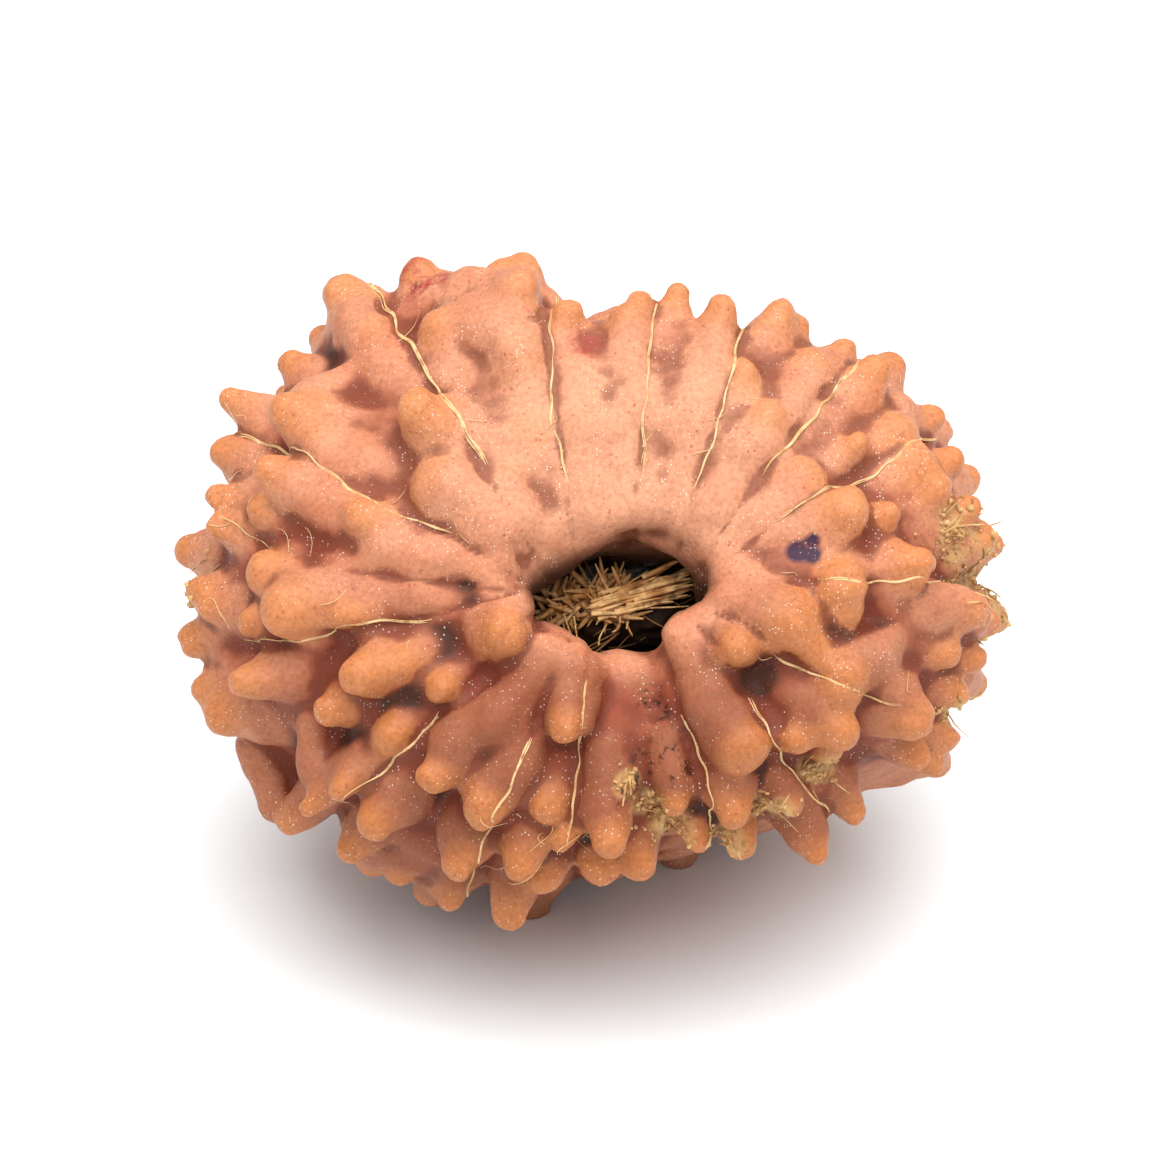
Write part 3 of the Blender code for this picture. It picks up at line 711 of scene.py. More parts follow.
azimuth, section = ring_reading(points)[:2]
degrees = np.degrees(section)
crease = np.exp(-((groove_gap(azimuth, section) / CREASE_WIDTH) ** 2)) * np.interp(degrees, *CREASE_FADE)
moved = -crease * CREASE_DEPTH
for depth, size, pattern in ROUGH_LAYERS:
    moved += noise_at(points, size, pattern) * depth
round_ring = np.cos(azimuth) * PLEATS_ROUND, np.sin(azimuth) * PLEATS_ROUND
around = np.column_stack([*round_ring, degrees / PLEAT_LENGTH])
moved += noise_at(around, 1, PLEAT_PATTERN) * PLEAT_DEPTH * band(degrees, PLEAT_OVER)
red, purple, pitted, dark, sandy = (
    patch(spots, points) for spots in (RED_HOLLOWS, PURPLE_STAIN, PANEL_PITS, SHADED_GAPS, SANDY_PATCHES)
)
pits = np.clip(noise_at(points, PIT_SIZE, PIT_PATTERN) - PIT_LEVEL, 0, 1) * PIT_GAIN
pressed = np.maximum(patch(RED_HOLLOWS[:1], points), PIT_SHARE * np.maximum(pitted, red) * pits)
points = points + vertex_normals(stone) * (moved - PRESSED_IN * pressed)[:, None]
points[:, 2] = np.maximum(points[:, 2], 0)
set_points(stone, points)
print("creases cut; lowest point", round(float(points[:, 2].min() / MM), 3), "mm")

# %% [markdown]
# The colour of the real skin follows its shape: knob tips are waxy orange and valleys are pink. Light and
# shade
# are painted on it too: hollows are painted brown and red as shade, the side near the camera is painted
# browner as shade, and the far wall beyond the hole is painted paler as light. So the shape is measured
# once and kept on the points as attributes that the material reads.

# %% Measure tips, hollows and sides
# A hollow is how far a point lies below the average of its neighbours, near by and far around.
SMALL_ROUNDS, WIDE_ROUNDS, TIP_ROUNDS = 14, 70, 3
SMALL_HOLLOW, WIDE_HOLLOW = 0.12 * MM, 0.6 * MM
# Inside is how far a point lies down in the hole, where the skin is painted nearly black as shade.
INSIDE_OVER = ((136, 156), (0, 1))
NEAR_OVER, NEAR_SHARE, NEAR_TURN = (-60, 20, 88, 112), 0.25, 0.95
FAR_OVER, FAR_SHARE, FAR_TURN = ((45, 70), (0, 1)), -0.3, 1.3

edges = np.empty(len(stone.data.edges) * 2, dtype=np.int64)
stone.data.edges.foreach_get("vertices", edges)
edges = edges.reshape(-1, 2)
neighbours = np.bincount(edges.ravel(), minlength=len(points)).astype(float)


def spread(values, rounds):
    """Averages values over neighbouring points, this many times."""
    for _ in range(rounds):
        total = values.copy()
        for column in range(values.shape[1]):
            total[:, column] += np.bincount(edges[:, 0], values[edges[:, 1], column], len(values))
            total[:, column] += np.bincount(edges[:, 1], values[edges[:, 0], column], len(values))
        values = total / (neighbours + 1)[:, None]
    return values


def store(thing, name, values):
    """Keeps one number for each point under this name."""
    held = thing.data.attributes.new(name, "FLOAT", "POINT")
    held.data.foreach_set("value", np.asarray(values, dtype=np.float32))


normals = vertex_normals(stone)
small = spread(points, SMALL_ROUNDS)
wide = spread(small, WIDE_ROUNDS)
hollow_small = np.sum((small - points) * normals, axis=1)
hollow_wide = np.sum((wide - points) * normals, axis=1)
# Near is how much the side near the camera is painted browner as shade; far is how much the far wall is
# painted paler as light.
near = band(degrees, NEAR_OVER) * np.clip(NEAR_SHARE - NEAR_TURN * np.sin(azimuth), 0, 1)
far = np.interp(degrees, *FAR_OVER) * np.clip(FAR_TURN * np.sin(azimuth) + FAR_SHARE, 0, 1)
measured = {
    "hollow_small": np.clip(hollow_small / SMALL_HOLLOW, -1, 1),
    "hollow_wide": np.clip(hollow_wide / WIDE_HOLLOW, -1, 1),
    "tip": np.clip(spread(tipness[:, None], TIP_ROUNDS)[:, 0], 0, 1),
    "inside": np.interp(degrees, *INSIDE_OVER),
    "near": near, "far": far,
    "red": red, "purple": purple, "pitted": pitted, "dark": dark, "sandy": sandy,
}
for name, values in measured.items():
    store(stone, name, values)
print(len(measured), "measures kept; hollows from", round(float(hollow_wide.min() / MM), 2), "to",
      round(float(hollow_wide.max() / MM), 2), "mm")

# %% [markdown]
# ## The finish of the skin
#
# Each finish is built from a few helpers: one reads an attribute, one makes noise, one turns a value
# into a share from 0 to 1, and one mixes a colour over another by such a share. The skin is then
# painted in layers, as on a model from a kit: a mottled pink first, painted shade and light over it (a
# browner near side, a paler far wall, browns and reds in the hollows, near black in gaps, pits and the
# hole), and stains and dust last.

# %% Gather helpers for finishes
def new_finish(name):
    """Starts a material, and makes it the one that the other helpers add to."""
    global tree, links, place
    made, its_shader = principled(name)
    tree = made.node_tree
    links = tree.links
    place = tree.nodes.new("ShaderNodeTexCoord").outputs["Object"]
    return made, its_shader


def feed(socket, value):
    """Links a socket to this value, or sets it where the value is a number or a colour."""
    if isinstance(value, bpy.types.NodeSocket):
        links.new(value, socket)
    elif isinstance(value, tuple):
        socket.default_value = (*value, 1)
    else:
        socket.default_value = value


def node(kind, **settings):
    """A shader node with its properties and unlinked inputs set."""
    made = tree.nodes.new(kind)
    for name, value in settings.items():
        if name in made.inputs:
            made.inputs[name].default_value = value
        else:
            setattr(made, name, value)
    return made


def read(name):
    return node("ShaderNodeAttribute", attribute_name=name).outputs["Fac"]


def ramp(value, *stops):
    """A share that changes over value. Each stop is a place and the share there."""
    made = node("ShaderNodeValToRGB")
    elements = made.color_ramp.elements
    while len(elements) < len(stops):
        elements.new(0.5)
    for element, (at, share) in zip(elements, stops):
        element.position = at
        element.color = (share, share, share, 1)
    links.new(value, made.inputs["Fac"])
    return made.outputs["Color"]


def rise(value, low, high):
    """A share that is 0 up to low and 1 from high on."""
    return ramp(value, (low, 0.0), (high, 1.0))


def mixed(share, first, second):
    """Two colours mixed by share. Each may be a socket or a colour."""
    made = node("ShaderNodeMix", data_type="RGBA")
    for number, value in ((0, share), (6, first), (7, second)):
        feed(made.inputs[number], value)
    return made.outputs[2]


def maths(operation, first, second):
    made = node("ShaderNodeMath", operation=operation)
    feed(made.inputs[0], first)
    feed(made.inputs[1], second)
    return made.outputs[0]


def product(first, second):
    return maths("MULTIPLY", first, second)


def noise_node(scale, detail=3, roughness=0.55):
    made = node("ShaderNodeTexNoise", Scale=scale, Detail=detail, Roughness=roughness)
    links.new(place, made.inputs["Vector"])
    return made.outputs["Fac"]


def dots(scale, size, chance, shift):
    """Round dots in cells of a fixed scale: this share of a cell's width, in this share of the cells."""
    cells = node("ShaderNodeTexVoronoi", Scale=scale)
    moved_place = node("ShaderNodeMapping")
    moved_place.inputs["Location"].default_value = (shift, shift, shift)
    links.new(place, moved_place.inputs["Vector"])
    links.new(moved_place.outputs["Vector"], cells.inputs["Vector"])
    chosen = node("ShaderNodeSeparateColor")
    links.new(cells.outputs["Color"], chosen.inputs["Color"])
    there = maths("LESS_THAN", chosen.outputs[0], chance)
    return product(ramp(cells.outputs["Distance"], (size * 0.6, 1.0), (size, 0.0)), there)


def surface(shader, base, roughness, specular, bump_strength, bump_depth, bump_noise):
    """Gives a shader its colour, its gloss and a bumpy surface. The bump's depth is in millimetres."""
    feed(shader.inputs["Base Color"], base)
    feed(shader.inputs["Roughness"], roughness)
    shader.inputs["Specular IOR Level"].default_value = specular
    bump = node("ShaderNodeBump", Strength=bump_strength, Distance=bump_depth * MM)
    links.new(bump_noise, bump.inputs["Height"])
    links.new(bump.outputs["Normal"], shader.inputs["Normal"])


def dress(thing, finish):
    thing.data.materials.clear()
    thing.data.materials.append(finish)


print("helpers for finishes are ready")

# %% Paint the skin
PINK, PINK_PALE = (0.50, 0.18, 0.09), (0.58, 0.25, 0.14)
ORANGE = (0.57, 0.205, 0.058)
# Brown serves the mottle and the painted shade of small hollows. The hollows' red and the near side's
# brown are painted shade, the far wall's pale is painted light, and the near black is painted shade in
# gaps, pits and the hole.
MOTTLE_AND_SHADE_BROWN, DEEP_SHADE = (0.13, 0.03, 0.015), (0.022, 0.008, 0.004)
HOLLOW_SHADE_RED, NEAR_SIDE_SHADE, FAR_WALL_LIGHT = (0.23, 0.038, 0.016), (0.18, 0.045, 0.017), (0.64, 0.32, 0.19)
RED, PURPLE = (0.30, 0.035, 0.03), (0.045, 0.018, 0.04)
SAND, DUST = (0.50, 0.30, 0.12), (0.92, 0.80, 0.70)

skin, shader = new_finish("seed_skin")
fine = noise_node(scale=5200, roughness=0.7)
wide_hollow_shade = ramp(read("hollow_wide"), (0.0, 0.0), (0.2, 0.4), (0.6, 1.0))
not_far = ramp(read("far"), (0.0, 0.95), (0.6, 0.3))
ragged = rise(noise_node(scale=1400, detail=4, roughness=0.65), 0.38, 0.6)
gaps = product(rise(read("dark"), 0.1, 0.5), rise(read("hollow_wide"), 0.1, 0.45))
pit_edges = rise(noise_node(scale=1900, detail=4, roughness=0.7), 0.53, 0.61)
pits = product(pit_edges, rise(read("pitted"), 0.1, 0.6))
pore_places = rise(noise_node(scale=700, detail=2), 0.42, 0.58)
pores = product(dots(scale=4200, size=0.3, chance=0.4, shift=1.0), pore_places)
dust_places = rise(noise_node(scale=520), 0.42, 0.62)
fine_dust = product(dots(scale=8500, size=0.3, chance=0.24, shift=5.0), dust_places)
coarse_dust = product(dots(scale=5200, size=0.18, chance=0.1, shift=7.0), dust_places)

# Each layer is how much of it shows and its colour, from the lowest to the topmost.
skin_layers = (
    # Painted shade: the side near the camera is browner.
    (product(read("near"), 0.75), NEAR_SIDE_SHADE),
    # Painted light: the far wall beyond the hole is paler.
    (product(read("far"), 0.6), FAR_WALL_LIGHT),
    (ramp(read("tip"), (0.35, 0.0), (0.95, 0.62)), ORANGE),
    (product(ramp(fine, (0.35, 1.0), (0.6, 0.0)), 0.3), MOTTLE_AND_SHADE_BROWN),
    # Painted shade: the wide hollows are red-brown, except on the far wall.
    (product(wide_hollow_shade, not_far), HOLLOW_SHADE_RED),
    # Painted shade: small hollows and creases are brown.
    (product(rise(read("hollow_small"), 0.2, 0.8), 0.65), MOTTLE_AND_SHADE_BROWN),
    (product(rise(read("red"), 0.25, 0.8), ragged), RED),
    # Painted shade: the dark gaps between the knobs are nearly black.
    (product(gaps, 0.8), DEEP_SHADE),
    (product(rise(read("sandy"), 0.2, 0.6), ragged), SAND),
    # Painted shade: the pits of the near panel are nearly black.
    (product(pits, 0.9), DEEP_SHADE),
    # Painted shade: the skin turns nearly black down inside the hole.
    (ramp(read("inside"), (0.0, 0.0), (1.0, 0.93)), DEEP_SHADE),
    (rise(read("purple"), 0.45, 0.75), PURPLE),
    (product(pores, 0.55), RED),
    (product(maths("MAXIMUM", fine_dust, coarse_dust), 0.6), DUST),
)
base = mixed(rise(noise_node(scale=450, detail=4), 0.35, 0.65), PINK, PINK_PALE)
for share, colour in skin_layers:
    base = mixed(share, base, colour)
waxy_tips = ramp(read("tip"), (0.1, 0.6), (0.7, 0.44))
surface(shader, base, roughness=waxy_tips, specular=0.2, bump_strength=0.5, bump_depth=0.06,
        bump_noise=noise_node(scale=3400, detail=5, roughness=0.68))
shader.inputs["Subsurface Weight"].default_value = 0.1
shader.inputs["Subsurface Radius"].default_value = (1.0, 0.3, 0.12)
shader.inputs["Subsurface Scale"].default_value = 0.8 * MM
dress(stone, skin)
stone.data.shade_smooth()
print("skin painted in", len(skin_layers) + 1, "layers")

# %% Hand the stone over
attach(stone, "root")
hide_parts("seed_stone")
print("stone:", sum(len(face.vertices) - 2 for face in stone.data.polygons), "triangles")

# %% [markdown]
# ## The strands in the grooves
#
# One straw-coloured strand lies in each groove: a bundle of dried plant fibre, flatter than a thread,
# that parts into finer threads at its ends. A curve with a bevel is the natural start for a thread,
# and it is made a mesh afterwards. Each strand's path is a few places read from the photograph. A ray
# is dropped onto the skin all along it, and the heights are evened out, because a dry strand bridges
# small hollows.

# %% Feel for the skin
FEELER = 5.0
skin_tree = BVHTree.FromObject(stone, bpy.context.evaluated_depsgraph_get())


def skin_height(azimuth, section):
    """How far the skin stands above the smooth ring here, in millimetres, and the outward direction."""
    high, low = place_at(azimuth, section, FEELER), place_at(azimuth, section, 0.0)
    outward = Vector(high - low).normalized()
    hit = skin_tree.ray_cast(Vector(high), -outward)[0]
    return (FEELER - (Vector(high) - hit).length / MM) if hit else 0.0, np.array(outward)


def through(stations, spacing):
    """A smooth line through these stations, with a point about every spacing. Numbers in rows."""
    rows = np.array(stations, dtype=float)
    rows = np.vstack([2 * rows[0] - rows[1], rows, 2 * rows[-1] - rows[-2]])
    line = []
    for before, start, end, after in zip(rows, rows[1:], rows[2:], rows[3:]):
        steps = max(2, int(np.linalg.norm(end - start) / spacing))
        for t in np.arange(steps) / steps:
            squared = (2 * before - 5 * start + 4 * end - after) * t**2
            cubed = (3 * start - before - 3 * end + after) * t**3
            line.append(0.5 * (2 * start + (end - before) * t + squared + cubed))
    return np.array(line + [rows[-2]])


print("skin at 90, 60 stands", round(skin_height(90, 60)[0], 2), "mm above the ring")

# %% Make tubes from threads
def tubes(name, threads):
    """One mesh of round tubes. Each thread is its points and its radius at each point, in metres."""
    deselect_all()
    bpy.ops.curve.primitive_nurbs_path_add()
    thing = bpy.context.object
    thing.name = name
    curve = thing.data
    curve.splines.clear()
    curve.dimensions = "3D"
    curve.bevel_depth = MM
    curve.bevel_resolution = 1
    curve.use_fill_caps = True
    for line, radii in threads:
        spline = curve.splines.new("POLY")
        spline.points.add(len(line) - 1)
        spline.points.foreach_set("co", np.column_stack([line, np.ones(len(line))]).ravel())
        spline.points.foreach_set("radius", np.broadcast_to(radii, len(line)) / MM)
    bpy.ops.object.convert(target="MESH")
    made = bpy.context.object
    made.data.shade_smooth()
    return made


def tapered(count, radius, tip):
    """Radii along a thread that thins towards its end, to this share at the tip."""
    share = np.linspace(0, 1, count)
    return radius * (1 - (1 - tip) * share**3)


print("ready to make tubes")

# %% Lay a strand in every groove
# Each strand is its places as azimuth and section angle in degrees, then its width in millimetres.
STRANDS = (
    (((-1, 84), (1, 64), (3, 43)), 0.15),
    (((26, 18), (27, 45), (25, 58), (27, 73), (29, 90)), 0.2),
    (((44, 20), (43, 51), (43, 66), (45, 84)), 0.22),
    (((64, 24), (65, 50), (63, 77), (62, 93), (61, 108)), 0.2),
    (((82, 35), (83, 57), (83, 75), (82, 90)), 0.15),
    (((101, 29), (104, 57), (108, 78), (107, 100)), 0.15),
    (((129, 17), (130, 45), (131, 68), (131, 84)), 0.26),
    (((157, 22), (157, 42), (158, 59), (160, 75), (157, 90)), 0.22),
    (((167, 25), (170, 38), (173, 53)), 0.09),
    (((194, 86), (189, 73), (189, 59), (186, 46), (185, 37)), 0.15),
    (((219, 73), (218, 56), (215, 43), (214, 30)), 0.15),
    (((245, 77), (243, 59), (242, 42), (241, 16)), 0.17),
    (((258, 99), (259, 74), (259, 53), (259, 42)), 0.15),
    (((289, 86), (292, 70), (291, 49), (291, 43)), 0.15),
    (((312, 84), (311, 64), (314, 44), (316, 28)), 0.17),
    (((327, 88), (332, 72), (336, 59), (338, 52)), 0.15),
)
# A strand wanders about its path, evens out the skin's height below it, and parts a little at its ends.
STRAND_STEP = 1.2
STRAND_SHARE = 0.64
WANDER, WANDER_RATE, WANDER_SPREAD = 1.1, 0.21, 40
EVEN_POINTS, EVEN_SHARE = 5, 0.35
STRAND_LIFT = 0.1
END_PARTS, END_SHARPNESS = 1.2, 6
# Its threads are twisted round each other, each with its own thickness, and each may end a little early.
THREADS_IN_STRAND = 3
TWISTS = (0.12, 0.3)
THREAD_ASIDE, THREAD_LIFT, FLATNESS = 0.3, 0.05, 0.45
THREAD_RADII, SWELLING, SWELL_RATES = (0.2, 0.3), 0.25, (0.4, 0.9)
ENDS_EARLY = 2
THIN_POINTS, THIN_SHARE = 3, 0.3
LAY_SEED = 31


def strand_course(stations, width):
    """The middle of a strand of this width at each point, and the directions out of the skin and aside."""
    line = through(stations, STRAND_STEP)
    for step in range(len(line)):
        pattern = (step * WANDER_RATE, width * WANDER_SPREAD, stations[0][0])
        line[step, 0] += noise.noise(pattern) * WANDER
    felt = [skin_height(*spot) for spot in line]
    heights = np.array([height for height, _ in felt])
    padded = np.pad(heights, EVEN_POINTS // 2, mode="edge")
    even = np.convolve(padded, np.ones(EVEN_POINTS) / EVEN_POINTS, mode="valid")
    heights = heights * (1 - EVEN_SHARE) + even * EVEN_SHARE + width * STRAND_LIFT
    middle = np.array([place_at(a, s, h) for (a, s), h in zip(line, heights)])
    outward = np.array([direction for _, direction in felt])
    sideways = np.cross(np.gradient(middle, axis=0), outward)
    sideways /= np.linalg.norm(sideways, axis=1, keepdims=True)
    return middle, outward, sideways


draw = random.Random(LAY_SEED)
strand_threads = []
for stations, full_width in STRANDS:
    width = full_width * STRAND_SHARE
    middle, outward, sideways = strand_course(stations, width)
    count = len(middle)
    along = np.arange(count)
    ends = np.abs(along / (count - 1) * 2 - 1) ** END_SHARPNESS * END_PARTS + 1
    for thread in range(THREADS_IN_STRAND):
        phase = thread / THREADS_IN_STRAND * math.tau + draw.uniform(0, 1)
        turn = phase + along * draw.uniform(*TWISTS)
        aside = np.cos(turn) * width * THREAD_ASIDE * MM * ends
        above = np.sin(turn) * width * THREAD_ASIDE * FLATNESS * MM + width * THREAD_LIFT * MM
        first, last = draw.randint(0, ENDS_EARLY), count - draw.randint(0, ENDS_EARLY)
        radii = width * draw.uniform(*THREAD_RADII) * MM
        radii = radii * (1 + SWELLING * np.sin(along * draw.uniform(*SWELL_RATES)))
        to_end = np.minimum(along - first, last - 1 - along)
        radii *= np.clip(to_end / THIN_POINTS + THIN_SHARE, THIN_SHARE, 1)
        path = middle + sideways * aside[:, None] + outward * above[:, None]
        strand_threads.append((path[first:last], radii[first:last]))
print(len(STRANDS), "strands of", len(strand_threads), "threads")

# %% Add loose hairs beside the strands
# A hair is thinner than a strand's threads. It starts near a strand and lifts off at its far end.
HAIRS = 46
HAIR_OFF = (5, 8)
HAIR_LEANS = (5, 6)
HAIR_CURL, HAIR_CURL_RATE = 1.5, 3
HAIR_LIFTS, HAIR_CLEARANCE = (0.05, 0.5), 0.03
HAIR_POINTS, HAIR_RADIUS, HAIR_TIP = 7, 0.016, 0.4


def either_way(most):
    """A random amount up to this much either way."""
    return draw.uniform(-most, most)


for _ in range(HAIRS):
    stations, _ = draw.choice(STRANDS)
    azimuth, section = stations[draw.randrange(len(stations))]
    azimuth += either_way(HAIR_OFF[0])
    section += either_way(HAIR_OFF[1])
    lean_a, lean_s = either_way(HAIR_LEANS[0]), either_way(HAIR_LEANS[1])
    lift = draw.uniform(*HAIR_LIFTS)
    path = []
    for t in np.linspace(0, 1, HAIR_POINTS):
        a = azimuth + lean_a * t + HAIR_CURL * math.sin(HAIR_CURL_RATE * t + lean_s)
        s = section + lean_s * t
        path.append(place_at(a, s, skin_height(a, s)[0] + HAIR_CLEARANCE + lift * t**2))
    strand_threads.append((np.array(path), tapered(HAIR_POINTS, HAIR_RADIUS * MM, HAIR_TIP)))

strands = tubes("groove_strands", strand_threads)
print(HAIRS, "hairs;", len(strand_threads), "threads in all,", len(strands.data.polygons), "faces")

# %% Colour the strands
STRAW, STRAW_PALE, STRAW_DEEP = (0.56, 0.33, 0.13), (0.74, 0.50, 0.26), (0.36, 0.18, 0.065)

straw, shader = new_finish("dried_straw")
base = mixed(rise(noise_node(scale=900), 0.35, 0.6), STRAW, STRAW_PALE)
base = mixed(ramp(noise_node(scale=2600), (0.52, 0.0), (0.66, 0.8)), base, STRAW_DEEP)
surface(shader, base, roughness=0.6, specular=0.4, bump_strength=0.4, bump_depth=0.02,
        bump_noise=noise_node(scale=7000))
dress(strands, straw)
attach(strands, "root")
print("strands coloured")

# %% [markdown]
# ## The dried fibre in the hole
#
# Dried pulp plugs the hole below its rim. At the left it is frayed into short bristles, at the right
# it is one ragged bundle that lies across like a log, and between them it lies deep in shade and looks
# nearly black. So it is a lumpy core, painted nearly black as that shade, with threads in four groups:
# bristles, the bundle, thin dark threads between them, and a few pale hairs that reach over the near rim.

# %% Plug the hole
# Places in the hole are millimetres right of, behind and above the middle of the seed, along its own axis.
CORE_MIDDLE = (HOLE_RIGHT / MM, -HOLE_FRONT / MM, 2.3)
CORE_HALF = (3.9, 1.4, 3.3)
CORE_SEGMENTS, CORE_RINGS = 96, 64
CORE_LUMPS = 0.5
# Large and small lumps: their size, the pattern's number and their share.
LUMP_LAYERS = ((0.9, 6, 0.7), (0.35, 7, 0.3))
ABOVE_CORE, BESIDE_CORE = 9.0, 4.0


def in_hole(right, behind, above):
    return (np.array([right, behind, above]) * MM) @ LEANING.T + np.array(SEED_CENTRE)


deselect_all()
bpy.ops.mesh.primitive_uv_sphere_add(segments=CORE_SEGMENTS, ring_count=CORE_RINGS, radius=1)
core = bpy.context.object
core.name = "channel_tuft"
unit = points_of(core)
lumps = sum(noise_at(unit * CORE_HALF, size, pattern) * share for size, pattern, share in LUMP_LAYERS)
shaped = unit * (np.array(CORE_HALF) + CORE_LUMPS * lumps[:, None]) + CORE_MIDDLE
set_points(core, (shaped * MM) @ LEANING.T + np.array(SEED_CENTRE))
core.data.shade_smooth()
store(core, "pale", np.zeros(len(unit)))
core_tree = BVHTree.FromObject(core, bpy.context.evaluated_depsgraph_get())


def core_top(right, behind):
    """How high the core stands at this place in the hole."""
    start = Vector(in_hole(right, behind, ABOVE_CORE))
    down = Vector(in_hole(right, behind, 0.0)) - start
    hit = core_tree.ray_cast(start, down.normalized())[0]
    return ABOVE_CORE - (start - hit).length / MM if hit else BESIDE_CORE


print("core stands", round(core_top(*CORE_MIDDLE[:2]), 2), "mm above the middle")

# %% Fray the fibre
# Of each group: how many threads, and the ranges of their lengths and radii in millimetres.
BRISTLES, BRISTLE_LENGTHS, BRISTLE_RADII = 230, (0.4, 1.3), (0.05, 0.16)
BUNDLE_THREADS, BUNDLE_SHARES, BUNDLE_RADII = 110, (0.15, 0.5), (0.04, 0.13)
DARK_THREADS, DARK_LENGTHS, DARK_RADII = 60, (0.6, 1.8), (0.02, 0.05)
# Where bristles and dark threads stand: right of and behind the middle of the seed.
BRISTLE_RIGHT, BRISTLE_BEHIND = (-2.2, 1.3), (-1.7, -0.2)
DARK_RIGHT, DARK_BEHIND = (-2.2, 4.2), (-2.7, 0.2)
ROOTED = 0.1
BUNDLE_START, BUNDLE_END = np.array([0.3, -1.35, 0.3]), np.array([4.5, -0.25, 0.55])
BUNDLE_FROM, BUNDLE_RAISED = (-0.1, 0.6), 5.3
BUNDLE_WIDE, BUNDLE_THICK, BUNDLE_ASTRAY = 0.24, 0.18, (0.5, 0.4)
BRISTLE_BEND, BUNDLE_BEND, DARK_BEND = 0.3, 0.05, 0.2
THREAD_POINTS, BUNDLE_POINTS, THREAD_TIP = 7, 9, 0.3
OVER_THE_RIM = (
    ((-1.1, -1.6, 5.6), (-0.85, -2.5, 6.7), (-0.55, -3.2, 7.9)),
    ((-0.7, -1.7, 5.6), (-0.6, -2.6, 6.6), (-0.5, -3.1, 7.6)),
    ((0.6, -1.9, 5.4), (0.3, -2.6, 6.3), (0.25, -3.05, 7.2)),
    ((-1.6, -1.7, 5.4), (-1.5, -2.4, 6.4), (-1.3, -2.9, 7.4)),
)
RIM_HAIR_STEP, RIM_HAIR_RADIUS = 0.3, 0.035 * MM
# How pale each group is, from the core at 0, painted nearly black as shade, to the palest hairs at 1.
BRISTLES_PALE, BUNDLE_PALE, DARK_PALE, RIM_HAIRS_PALE = 0.75, 0.9, 0.35, 1.0
FRAY_SEED = 12

draw = random.Random(FRAY_SEED)


def bent_thread(start, direction, length, radius, bend, count=THREAD_POINTS):
    """A short thread in hole places that starts here and bends aside as it goes, with its radii."""
    aside = np.array([draw.gauss(0, 1), draw.gauss(0, 1), draw.gauss(0, 0.6)]) * bend
    direction = np.array(direction) / np.linalg.norm(direction)
    shares = np.linspace(0, 1, count)
    line = [np.array(start) + direction * length * t + aside * length * t * t for t in shares]
    return np.array([in_hole(*spot) for spot in line]), tapered(count, radius * MM, THREAD_TIP)


def bristle():
    right, behind = draw.uniform(*BRISTLE_RIGHT), draw.uniform(*BRISTLE_BEHIND)
    root = (right, behind, core_top(right, behind) - ROOTED)
    direction = (draw.gauss(0, 1), draw.gauss(0, 0.8), draw.uniform(-0.1, 0.9))
    length, radius = draw.uniform(*BRISTLE_LENGTHS), draw.uniform(*BRISTLE_RADII)
    return bent_thread(root, direction, length, radius, BRISTLE_BEND)


def bundle_thread():
    first = draw.uniform(*BUNDLE_FROM)
    last = first + draw.uniform(*BUNDLE_SHARES)
    shift = np.array([0, draw.gauss(0, BUNDLE_WIDE), draw.gauss(0, BUNDLE_THICK) + BUNDLE_RAISED])
    start = BUNDLE_START + (BUNDLE_END - BUNDLE_START) * first + shift
    way = BUNDLE_END - BUNDLE_START + np.array([0, *(draw.gauss(0, astray) for astray in BUNDLE_ASTRAY)])
    length = np.linalg.norm(way) * (last - first)
    return bent_thread(start, way, length, draw.uniform(*BUNDLE_RADII), BUNDLE_BEND, BUNDLE_POINTS)


def dark_thread():
    right, behind = draw.uniform(*DARK_RIGHT), draw.uniform(*DARK_BEHIND)
    direction = (draw.gauss(0, 1), draw.gauss(0, 0.6), draw.uniform(0, 0.5))
    root = (right, behind, core_top(right, behind) - ROOTED)
    return bent_thread(root, direction, draw.uniform(*DARK_LENGTHS), draw.uniform(*DARK_RADII), DARK_BEND)


groups = (
    ([bristle() for _ in range(BRISTLES)], BRISTLES_PALE),
    ([bundle_thread() for _ in range(BUNDLE_THREADS)], BUNDLE_PALE),
    ([dark_thread() for _ in range(DARK_THREADS)], DARK_PALE),
    ([(np.array([in_hole(*spot) for spot in through(path, RIM_HAIR_STEP)]), RIM_HAIR_RADIUS)
      for path in OVER_THE_RIM], RIM_HAIRS_PALE),
)
made = []
for number, (threads, pale) in enumerate(groups):
    group = tubes(f"fibre_group_{number}", threads)
    store(group, "pale", np.full(len(group.data.vertices), pale))
    made.append(group)
join_onto(core, made)
print("fibre:", len(core.data.polygons), "faces")

# %% Colour the fibre
CORE_SHADE_BLACK, FIBRE_BROWN = (0.028, 0.012, 0.006), (0.55, 0.25, 0.08)
FIBRE_PALE, FIBRE_DARK = (0.95, 0.6, 0.26), (0.07, 0.028, 0.012)

fibre, shader = new_finish("dried_fibre")
shade = read("pale")
# The core, at 0, is painted nearly black as the shade deep in the hole.
base = mixed(ramp(shade, (0.0, 0.0), (0.4, 0.5), (0.75, 1.0)), CORE_SHADE_BLACK, FIBRE_BROWN)
base = mixed(product(rise(shade, 0.5, 0.9), rise(noise_node(scale=1300), 0.4, 0.62)), base, FIBRE_PALE)
base = mixed(product(rise(noise_node(scale=2100), 0.5, 0.68), 0.7), base, FIBRE_DARK)
surface(shader, base, roughness=0.7, specular=0.3, bump_strength=0.6, bump_depth=0.05,
        bump_noise=noise_node(scale=4200, detail=4))
dress(core, fibre)
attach(core, "root")
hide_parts("channel_fibre")
print("fibre coloured")

